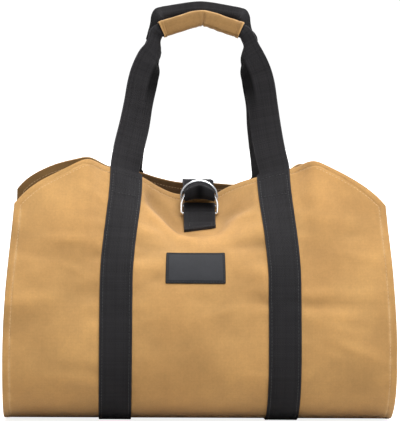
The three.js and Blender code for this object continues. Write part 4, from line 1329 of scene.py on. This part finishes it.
def tab_line():
    """Middle line of the tab as (along, away from the canvas): up the back, round, down the front."""
    reach = (TAB_FRONT - TAB_BACK) / 2
    turn = np.linspace(-math.pi / 2, math.pi / 2, TAB_LOOP_SPOTS)
    up = np.linspace(TAB_FROM, TAB_LOOP_AT, TAB_BACK_SPOTS)
    back = np.stack([up, np.full(TAB_BACK_SPOTS, TAB_BACK)], axis=-1)
    loop = np.stack([TAB_LOOP_AT + reach * np.cos(turn), TAB_BACK + reach + reach * np.sin(turn)], axis=-1)
    down = np.linspace(TAB_LOOP_AT, TAB_FROM, TAB_FRONT_SPOTS)
    opened = smooth((down - TAB_SEWN_TO) / (TAB_OPEN_FROM - TAB_SEWN_TO))
    away = TAB_SEWN + (TAB_FRONT - TAB_SEWN) * opened - mound(down, *TAB_PINCH)
    return np.concatenate([back[:-1], loop, np.stack([down, away], axis=-1)[1:]])


def band_piece(name, middle, side, width, shift, steps, painted_shade=0.0):
    """Short band of webbing: a line of depth and height spread across x, then shifted point by point.

    side says which way its outer face looks. Its selvedges and both cut ends are marked for wear.
    """
    run = unit(np.gradient(middle, axis=0))
    facing = side * np.stack([np.zeros(len(run)), -run[:, 2], run[:, 1]], axis=-1)
    thick = facing[:, None] * web_half_thickness(width)[None, :, None]
    face = np.broadcast_to(middle[:, None], thick.shape).copy()
    face[..., 0] = CLOSURE_X + BAND_SHARE * width / 2
    face = face + shift
    to_end = np.minimum(steps, steps[-1] - steps)[:, None]
    rub = np.maximum(SELVEDGE_RUB, 1 - smooth(to_end / END_RUB))
    # Share of painted shade at each point; it also takes away the rub on the outer face.
    painted_shade = np.broadcast_to(painted_shade, rub.shape)
    marks = {"selvedge": (rub * (1 - painted_shade), rub), "painted_shade": (painted_shade, painted_shade)}
    uv = np.stack(np.meshgrid(WEB_ACROSS, steps), axis=-1)
    return skin(name, face + thick, face - thick, uv, marks)


tab_path = tab_line()
tab_middle, tab_out = on_cloth(0.0)(np.zeros(len(tab_path)), -tab_path[:, 0])
tab_middle = tab_middle + tab_out * tab_path[:, 1:]
tab_middle[:, 0] = 0
tab_low = smooth((TAB_OPEN_FROM - tab_path[:, 0]) / (TAB_OPEN_FROM - TAB_FROM))
tab_up = unit(tab_middle[TAB_UP_SPOT] - tab_middle[0])
tab_slant = (tab_low[:, None] * BAND_SHARE * TAB_SLANT)[..., None] * tab_up
tab = band_piece("closure_tab_loop", tab_middle, 1, TAB_WIDTH, tab_slant, run_length(tab_middle))
dress(tab, WEBBING, "webbing", "closure_tab")


# Ring pair: two D-shaped rings of bright plated steel wire, bars side by side in the tab, arcs leaning apart.
# Each is bent from round wire and welded on its bar.
RING_WIRE = 1.8
RING_HALF = 22.9
RING_SIDE = 10.0
RING_RISE = 21.5
RING_CORNER = 3.0
RING_PLAY = 0.8
RING_AWAY = GAP + WEB_THICK + RING_PLAY + RING_WIRE
RING_AROUND = 20
RING_CORNER_SPOTS = 9
RING_BAR_SPOTS = 25
RING_ARC_SPOTS = 61
WIRE_LESS = 0.06
WELD_SWELL = 0.12
WELD_WIDTH = 1.6

# The bar's distance along the canvas, and the tilt of the arc towards the rear in degrees.
BACK_RING = (458.0, 3.0)
FRONT_RING = (444.0, -8.0)


def ring_place(along, tilt):
    """Middle of a ring's bar in the tab's loop, and the directions up the ring and out of its face."""
    point, _ = on_cloth(RING_AWAY)(np.array([0.0]), np.array([-along]))
    turn = math.radians(tilt)
    up = np.array([0, math.sin(turn), math.cos(turn)])
    facing = np.array([0, -math.cos(turn), math.sin(turn)])
    return point[0], up, facing


def ring_line():
    """Closed line of the D in its own plane: bar, two small corners, two short sides and half an ellipse."""
    inset = RING_HALF - RING_CORNER
    corner = np.radians(np.linspace(180, 270, RING_CORNER_SPOTS))
    turned = np.stack([np.cos(corner), np.sin(corner)], axis=-1)
    left = np.array([-inset, RING_CORNER]) + RING_CORNER * turned
    bar = np.stack([np.linspace(-inset, inset, RING_BAR_SPOTS), np.zeros(RING_BAR_SPOTS)], axis=-1)[1:-1]
    right = left[::-1] * np.array([-1, 1])
    arc = np.radians(np.linspace(0, 180, RING_ARC_SPOTS))
    bow = np.stack([RING_HALF * np.cos(arc), RING_SIDE + RING_RISE * np.sin(arc)], axis=-1)
    return np.concatenate([left, bar, right, bow])


def ring_piece(name, along, tilt):
    """Wire carried round the D: circles square to the line, swollen a little at the weld in the bar."""
    bar, up, facing = ring_place(along, tilt)
    line = ring_line()
    run = unit(np.roll(line, -1, axis=0) - np.roll(line, 1, axis=0))
    spin = 2 * math.pi * np.arange(RING_AROUND) / RING_AROUND
    weld = WELD_SWELL * bell(line[:, 0], WELD_WIDTH) * (line[:, 1] < RING_CORNER / 3)
    girth = (RING_WIRE - WIRE_LESS + weld)[:, None]
    flat_x = line[:, :1] - run[:, 1:] * girth * np.cos(spin)
    flat_up = line[:, 1:] + run[:, :1] * girth * np.cos(spin)
    points = bar + flat_up[..., None] * up + (girth * np.sin(spin))[..., None] * facing
    points[..., 0] = CLOSURE_X + flat_x
    count = len(line)
    ids = np.arange(count * RING_AROUND).reshape(count, RING_AROUND)
    ahead = np.roll(ids, -1, axis=0)
    quads = [ids, ahead, np.roll(ahead, -1, axis=1), np.roll(ids, -1, axis=1)]
    faces = np.stack(quads, axis=-1).reshape(-1, 4)
    uv = np.stack(np.meshgrid(spin, np.linspace(0, 1, count)), axis=-1).reshape(-1, 2)
    return solid(name, points.reshape(-1, 3) * MM, faces, uv[faces.ravel()])


STEEL_DARK = (0.70, 0.71, 0.73, 1)
STEEL_LIGHT = (0.86, 0.87, 0.88, 1)
STEEL_ROUGHNESS = (0.1, 0.2)
STEEL_RUB = 0.14
STEEL_RELIEF = (0.12, 0.0002)


def plated_steel(name):
    """Bright plating: clear metal with faint smears, hairline rubbing and a slightly uneven face."""
    material, tree, shader = new_material(name, {"Metallic": 1.0})
    place = node(tree, "TexCoord").outputs
    use = grouped(tree, HANDLING, {"Vector": place["Object"], "Edge": 1.0})
    fine = node(tree, "TexNoise", {"Vector": place["Object"], "Scale": 900.0, "Detail": 2.0}).outputs[0]
    tree.links.new(blend(tree, use["Cloud"], STEEL_DARK, STEEL_LIGHT), shader["Base Color"])
    rough = calc(tree, "MULTIPLY_ADD", use["Rubbed"], STEEL_RUB, span(tree, fine, *STEEL_ROUGHNESS))
    tree.links.new(rough, shader["Roughness"])
    relief(tree, shader, *STEEL_RELIEF, fine)
    return material


PLATED = plated_steel("plated_steel")
back_ring = ring_piece("ring_back", *BACK_RING)
dress(back_ring, PLATED, "ring_steel", "d_ring_back")
front_ring = ring_piece("ring_front", *FRONT_RING)
dress(front_ring, PLATED, "ring_steel", "d_ring_front")


# Closure strap: webbing sewn to the outside of the rear edge's middle, brought over to the front,
# passed through both rings, folded back over the front ring and tucked, with its end standing up behind.
STRAP_WIDTH = 38.0
STRAP_SEWN_ROWS = np.array([405.0, 420, 435, 450, 465, 480])
STRAP_STATIONS = 190
STRAP_SHADE_ROWS = np.array([8, 15]) + len(STRAP_SEWN_ROWS)
STRAP_SHADE_EDGE = 5.0
STRAP_SHADE_SIDES = 0.55
STRAP_SHADE_WIDTH = 0.3

# Free path: what it is measured from, then depth, height and the sag of both edges.
STRAP_PATH = [
    ("rear edge", 0.3, 2.2, 0),
    ("rear edge", -2, 3.4, 0),
    ("rear edge", -5, 2.9, 0),
    ("rear edge", -14, -0.2, 0.2),
    ("rear edge", -26, -3.6, 0.4),
    ("front edge", 16, 4.9, 0.7),
    ("front edge", 0, 3.6, 0.9),
    ("front edge", -9, 1.2, 1.6),
    ("ring", 13.7, -8.8, 2.4),
    ("ring", 7.2, -11.6, 3),
    ("ring", 0.9, -11.7, 4),
    ("ring", -3, -8.3, 5.5),
    ("ring", -3.9, -3.7, 6.5),
    ("ring", -3.7, 0, 7),
    ("ring", -2.6, 2.6, 7.2),
    ("ring", 0, 3.7, 7.2),
    ("ring", 2.6, 2.6, 7.4),
    ("ring", 6.7, 1.2, 7.8),
    ("ring", 12.7, -0.1, 8),
    ("ring", 18.7, 0.5, 7),
    ("front edge", -6.5, 9.8, 4.5),
    ("front edge", -1.5, 14.2, 2.4),
    ("front edge", 2.5, 18.6, 1),
]
sewn_points, _ = on_cloth(GAP + WEB_THICK / 2)(np.zeros(len(STRAP_SEWN_ROWS)), STRAP_SEWN_ROWS)
front_edge, rear_edge = cloth(np.zeros(2), np.array([-HALF_LENGTH, HALF_LENGTH]))
ring_bar, ring_up, _ = ring_place(*FRONT_RING)
strap_anchors = {
    "rear edge": rear_edge,
    "front edge": front_edge,
    "ring": ring_bar + ring_up * (RING_SIDE + RING_RISE),
}
strap_free = [
    (strap_anchors[base][1] + depth, strap_anchors[base][2] + height, sag)
    for base, depth, height, sag in STRAP_PATH
]
strap_sewn = np.concatenate([sewn_points[:, 1:], np.zeros((len(sewn_points), 1))], axis=1)
strap_rows = np.concatenate([strap_sewn, np.array(strap_free)])
strap_knots = run_length(strap_rows[:, :2])
strap_at = np.linspace(0, strap_knots[-1], STRAP_STATIONS)
strap_fine = spline(strap_knots, strap_rows, strap_at)
strap_middle = np.concatenate([np.zeros((len(strap_at), 1)), strap_fine[:, :2]], axis=1)
strap_sag = (strap_fine[:, 2:] * BAND_SHARE ** 2)[..., None] * np.array([0, 0, -1])
# Painted shade on the strap where it passes through the rings, strongest down its middle.
strap_painted_shade = within(strap_at, *strap_knots[STRAP_SHADE_ROWS], STRAP_SHADE_EDGE)[:, None]
strap_middle_only = (1 - STRAP_SHADE_SIDES) * bell(BAND_SHARE, STRAP_SHADE_WIDTH)
strap_painted_shade = strap_painted_shade * (STRAP_SHADE_SIDES + strap_middle_only)
strap = band_piece("closure_strap_band", strap_middle, -1, STRAP_WIDTH, strap_sag, strap_at, strap_painted_shade)
dress(strap, WEBBING, "webbing", "closure_strap")


# Closure thread: a sewn box on the tab's lower end, and a box with a cross in it on the strap's end behind.
# Black thread, a little heavier than the webbing's.
BOX_SIDES = (CLOSURE_X - 15.2, CLOSURE_X + 15.2)
TAB_BOX = (-409.0, -422.0)
TAB_BOX_SLANT = 7.0
STRAP_BOX = (410.0, 472.0)
CLOSURE_STITCHES = {"pitch": 4.0, "length": 3.1, "radius": 0.42}


def box_path(left, right, low, high, slant=0.0):
    """Rectangle on the sheet, gone round once. Its low side slants by a given length over its width."""
    return [(left, low), (right, low - slant), (right, high), (left, high), (left, low)]


tab_face = on_cloth(TAB_SEWN + WEB_THICK / 2 + THREAD_LIFT)
strap_face = on_cloth(GAP + WEB_THICK + THREAD_LIFT)
tab_box = box_path(*BOX_SIDES, *TAB_BOX, TAB_BOX_SLANT)
strap_lines = [
    box_path(*BOX_SIDES, *STRAP_BOX),
    list(zip(BOX_SIDES, STRAP_BOX)),
    list(zip(BOX_SIDES[::-1], STRAP_BOX)),
]
closure_rows = [stitch_row(tab_box, tab_face, **CLOSURE_STITCHES)]
closure_rows += [stitch_row(line, strap_face, **CLOSURE_STITCHES) for line in strap_lines]
closure_thread = thread_piece("closure_thread", closure_rows)
dress(closure_thread, DARK_THREAD, "webbing")


# Label patch: a plain blank rectangle of dark coated leather sewn to the front panel by a row near its edge.
# Its edge is pressed thinner and darker than its face.
LABEL_MIDDLE = np.array([(LABEL_LEFT + LABEL_RIGHT) / 2, (LABEL_LOW + LABEL_HIGH) / 2])
LABEL_HALF = np.array([(LABEL_RIGHT - LABEL_LEFT) / 2, (LABEL_HIGH - LABEL_LOW) / 2])
LABEL_THICK = 1.2
LABEL_CORNER = 1.6
LABEL_BORDER = 3.4
LABEL_SUNK = 0.32
LABEL_SUNK_TO = (LABEL_BORDER - 0.5, 1.0)
LABEL_ROUND = 0.7
LABEL_ROUND_SHARE = 0.8
LABEL_BACK = GAP - 0.1
LABEL_MARKED_TO = (LABEL_BORDER - 0.4, 0.7)
LABEL_EDGE_LINES = np.array([0, 0.15, 0.4, 0.8, 1.3, 1.8, 2.4, 3.0, 3.6])
LABEL_EVEN_INSET = 4.5
LABEL_SPACING = 1.6


def label_lines(low, high):
    """Grid lines across the patch: close ones at both ends, even ones between."""
    even = np.linspace(low + LABEL_EVEN_INSET, high - LABEL_EVEN_INSET, int((high - low) / LABEL_SPACING))
    return np.concatenate([low + LABEL_EDGE_LINES, even, (high - LABEL_EDGE_LINES)[::-1]])


def label_lift(to_edge):
    """Height of the patch's face over the canvas: flat, sunk along its border, rounded off at its edge."""
    sunk = LABEL_SUNK * (1 - eased(to_edge, *LABEL_SUNK_TO))
    return GAP + LABEL_THICK - sunk - rounded(to_edge, LABEL_ROUND) * LABEL_ROUND_SHARE


def round_corners(spots):
    """Spots of the patch with its corners rounded: in a corner's square they are drawn in to its circle."""
    off = spots - LABEL_MIDDLE
    past = np.maximum(np.abs(off) - LABEL_HALF + LABEL_CORNER, 0)
    far = np.maximum(np.linalg.norm(past, axis=-1, keepdims=True), SHORTEST_RUN)
    pull = np.max(past, axis=-1, keepdims=True) / far
    return spots - np.sign(off) * past * (1 - pull)


label_grid = np.meshgrid(label_lines(LABEL_LEFT, LABEL_RIGHT), label_lines(LABEL_LOW, LABEL_HIGH))
label_flat = np.stack(label_grid, axis=-1)
label_inset = np.min(LABEL_HALF - np.abs(label_flat - LABEL_MIDDLE), axis=-1)
label_spots = round_corners(label_flat)
label_base, label_out = on_cloth(0.0)(label_spots[..., 0], -label_spots[..., 1])
label_face = label_base + label_out * label_lift(label_inset)[..., None]
label_back = label_base + label_out * LABEL_BACK
label_border = 1 - eased(label_inset, *LABEL_MARKED_TO)
label_marks = {"border": (label_border, np.ones_like(label_border))}
label = skin("label_blank", label_face, label_back, label_spots, label_marks)
LEATHER_DARK = (0.015, 0.0158, 0.0188, 1)
LEATHER_LIGHT = (0.02, 0.0208, 0.0244, 1)
LEATHER_RUBBED = (0.046, 0.0476, 0.0534, 1)
LEATHER_BORDER = (0.008, 0.0084, 0.01, 1)
LEATHER_RUB = 0.25
LEATHER_ROUGHNESS = (0.42, 0.58)
PEBBLE_ROUGHNESS = 0.2
LEATHER_RELIEF = (0.3, 0.0002)


def label_material(name):
    """Coated leather: slate grey with a fine pebble grain, a darker border, rubbed paler in places."""
    material, tree, shader = new_material(name, {"Specular IOR Level": 0.16})
    place = node(tree, "TexCoord").outputs
    use = grouped(tree, HANDLING, {"Vector": place["Object"], "Edge": 1.0})
    pebble = node(tree, "TexVoronoi", {"Vector": place["Object"], "Scale": 1100.0}).outputs["Distance"]
    colour = blend(tree, use["Cloud"], LEATHER_DARK, LEATHER_LIGHT)
    colour = blend(tree, calc(tree, "MULTIPLY", use["Rubbed"], LEATHER_RUB), colour, LEATHER_RUBBED)
    tree.links.new(blend(tree, mark(tree, "border"), colour, LEATHER_BORDER), shader["Base Color"])
    rough = span(tree, use["Smudge"], *LEATHER_ROUGHNESS)
    rough = calc(tree, "MULTIPLY_ADD", pebble, PEBBLE_ROUGHNESS, rough)
    tree.links.new(rough, shader["Roughness"])
    relief(tree, shader, *LEATHER_RELIEF, pebble)
    return material


dress(label, label_material("label_leather"), "label", "label_patch")


# Label thread: one row of fine black stitches in the patch's pressed border, round all four sides.
# It goes through the leather and the canvas.
LABEL_STITCHES = {"pitch": 3.4, "length": 2.6, "radius": 0.3}
LABEL_THREAD_SUNK = 0.3
LABEL_SEAM_INSET = 1.7

label_path = box_path(
    LABEL_LEFT + LABEL_SEAM_INSET,
    LABEL_RIGHT - LABEL_SEAM_INSET,
    -LABEL_LOW - LABEL_SEAM_INSET,
    -LABEL_HIGH + LABEL_SEAM_INSET,
)
label_border_face = on_cloth(GAP + LABEL_THICK - LABEL_THREAD_SUNK)
label_thread = thread_piece("label_thread", [stitch_row(label_path, label_border_face, **LABEL_STITCHES)])
dress(label_thread, DARK_THREAD, "label")


# Stage: a pale seamless floor under broad overhead light, with weak softboxes in front and behind.
# The floor glows to the camera and gives less light back to the bag than a white one would.
FLOOR_REACH = 40.0
FLOOR_SIDES = 96
FLOOR_TONES = ((0.9, 0.9, 0.9, 1), (0.94, 0.94, 0.94, 1))
FLOOR_GIVES_BACK = (0.74, 0.74, 0.74, 1)
FLOOR_GLOW = 0.85
WHITE = (1, 1, 1, 1)

floor_mesh = bpy.data.meshes.new("floor")
floor_turn = np.linspace(0, 2 * math.pi, FLOOR_SIDES + 1)[:-1]
floor_ring = np.stack([np.cos(floor_turn), np.sin(floor_turn), 0 * floor_turn], axis=-1) * FLOOR_REACH
floor_mesh.from_pydata(floor_ring.tolist(), [], [list(range(len(floor_ring)))])
floor = put_in_scene("floor", floor_mesh)
floor_constants = {"Roughness": 0.9, "Specular IOR Level": 0.1, "Emission Color": WHITE}
floor_material, floor_tree, floor_shader = new_material("pale_floor", floor_constants)
floor_place = node(floor_tree, "TexCoord").outputs
floor_noise = node(floor_tree, "TexNoise", {"Vector": floor_place["Object"], "Scale": 3.0}).outputs[0]
floor_seen = blend(floor_tree, floor_noise, *FLOOR_TONES)
floor_ray = node(floor_tree, "LightPath").outputs
floor_dim = blend(floor_tree, floor_ray["Is Diffuse Ray"], floor_seen, FLOOR_GIVES_BACK)
floor_tree.links.new(floor_dim, floor_shader["Base Color"])
floor_glow = calc(floor_tree, "MULTIPLY", floor_ray["Is Camera Ray"], FLOOR_GLOW)
floor_tree.links.new(floor_glow, floor_shader["Emission Strength"])
floor.data.materials.append(floor_material)


# Lights: a wide overhead sun that is soft as a cloudy sky, and two softboxes (place, aim and power).
# The world is white to the camera, dim to cloth, and in mirrors dark at the level and bright above.
OVERHEAD_POWER = 2.6
OVERHEAD_SPREAD = math.radians(50)
OVERHEAD_TURN = (math.radians(4), math.radians(3), 0)
SOFTBOX_SIZE = (1.2, 0.8)
SOFTBOX_LEVEL = np.array([0.0, 1.0, 0.001])
FRONT_KEY = ((0.3, -0.75, 1.4), (0.03, -0.05, 0.22), 17.0)
REAR_KEY = ((0.2, 0.9, 1.4), (0, 0.05, 0.22), 15.0)
WORLD_SEEN = 1.05
WORLD_DIFFUSE = 0.15
MIRRORED_LOW = 0.1
MIRRORED_HIGH = 0.8
MIRRORED_TOP = 0.6


def set_place(thing, right, up, back, place):
    """Puts a light or camera at a place, with its own axes along three directions."""
    turn = np.eye(4)
    turn[:3, :3] = np.stack([right, up, back], axis=-1)
    turn[:3, 3] = place
    thing.matrix_world = Matrix(turn.tolist())


def softbox(name, place, aim, power):
    """Oblong area light at a place, turned to face a point."""
    lamp = bpy.data.lights.new(name, "AREA")
    lamp.shape = "RECTANGLE"
    lamp.size, lamp.size_y = SOFTBOX_SIZE
    lamp.energy = power
    away = unit(np.array(place) - np.array(aim))
    right = unit(np.cross(SOFTBOX_LEVEL, away))
    set_place(put_in_scene(name, lamp), right, np.cross(away, right), away, place)


overhead = bpy.data.lights.new("overhead", "SUN")
overhead.energy = OVERHEAD_POWER
overhead.angle = OVERHEAD_SPREAD
put_in_scene("overhead", overhead).rotation_euler = OVERHEAD_TURN
softbox("front_key", *FRONT_KEY)
softbox("rear_key", *REAR_KEY)
world = bpy.data.worlds.new("studio")
bpy.context.scene.world = world
world.use_nodes = True
sky_tree = world.node_tree
sky_tree.nodes.clear()
sky_ray = node(sky_tree, "LightPath").outputs
sky_way = node(sky_tree, "TexCoord").outputs["Generated"]
sky_height = node(sky_tree, "SeparateXYZ", {0: sky_way}).outputs[2]
sky_rise = {0: sky_height, 1: 0.0, 2: MIRRORED_TOP, 3: MIRRORED_LOW, 4: MIRRORED_HIGH}
mirrored = node(sky_tree, "MapRange", sky_rise).outputs[0]
softly = node(sky_tree, "Mix", {0: sky_ray["Is Diffuse Ray"], 2: mirrored, 3: WORLD_DIFFUSE}).outputs[0]
strength = node(sky_tree, "Mix", {0: sky_ray["Is Camera Ray"], 2: softly, 3: WORLD_SEEN}).outputs[0]
sky = node(sky_tree, "Background", {"Color": WHITE, "Strength": strength})
node(sky_tree, "OutputWorld", {"Surface": sky.outputs[0]})


# Camera: where the photograph was taken from, far back, almost level with the bag and a touch to its left.
# A long lens keeps the two handles nearly the same size.
CAMERA_AWAY = 3.0
CAMERA_LENS = 200.0
CAMERA_SENSOR = 36.0
CAMERA_SEES_TO = 100.0
CAMERA_AZIMUTH = math.radians(-2.2)
CAMERA_RISE = math.radians(2.0)
CAMERA_ROLL = math.radians(0.5)
CAMERA_AIM = np.array([0.0045, 0.0, 0.2568])
camera_back = np.array([
    math.sin(CAMERA_AZIMUTH) * math.cos(CAMERA_RISE),
    -math.cos(CAMERA_AZIMUTH) * math.cos(CAMERA_RISE),
    math.sin(CAMERA_RISE),
])
level_right = np.array([math.cos(CAMERA_AZIMUTH), math.sin(CAMERA_AZIMUTH), 0.0])
level_up = np.cross(camera_back, level_right)
camera_right = level_right * math.cos(CAMERA_ROLL) + level_up * math.sin(CAMERA_ROLL)
camera_up = level_up * math.cos(CAMERA_ROLL) - level_right * math.sin(CAMERA_ROLL)
camera_data = bpy.data.cameras.new("photo_camera")
camera_data.lens = CAMERA_LENS
camera_data.sensor_width = CAMERA_SENSOR
camera_data.clip_end = CAMERA_SEES_TO
camera = put_in_scene("photo_camera", camera_data)
set_place(camera, camera_right, camera_up, camera_back, CAMERA_AIM + camera_back * CAMERA_AWAY)
bpy.context.scene.camera = camera
bpy.context.scene.view_settings.view_transform = "Standard"
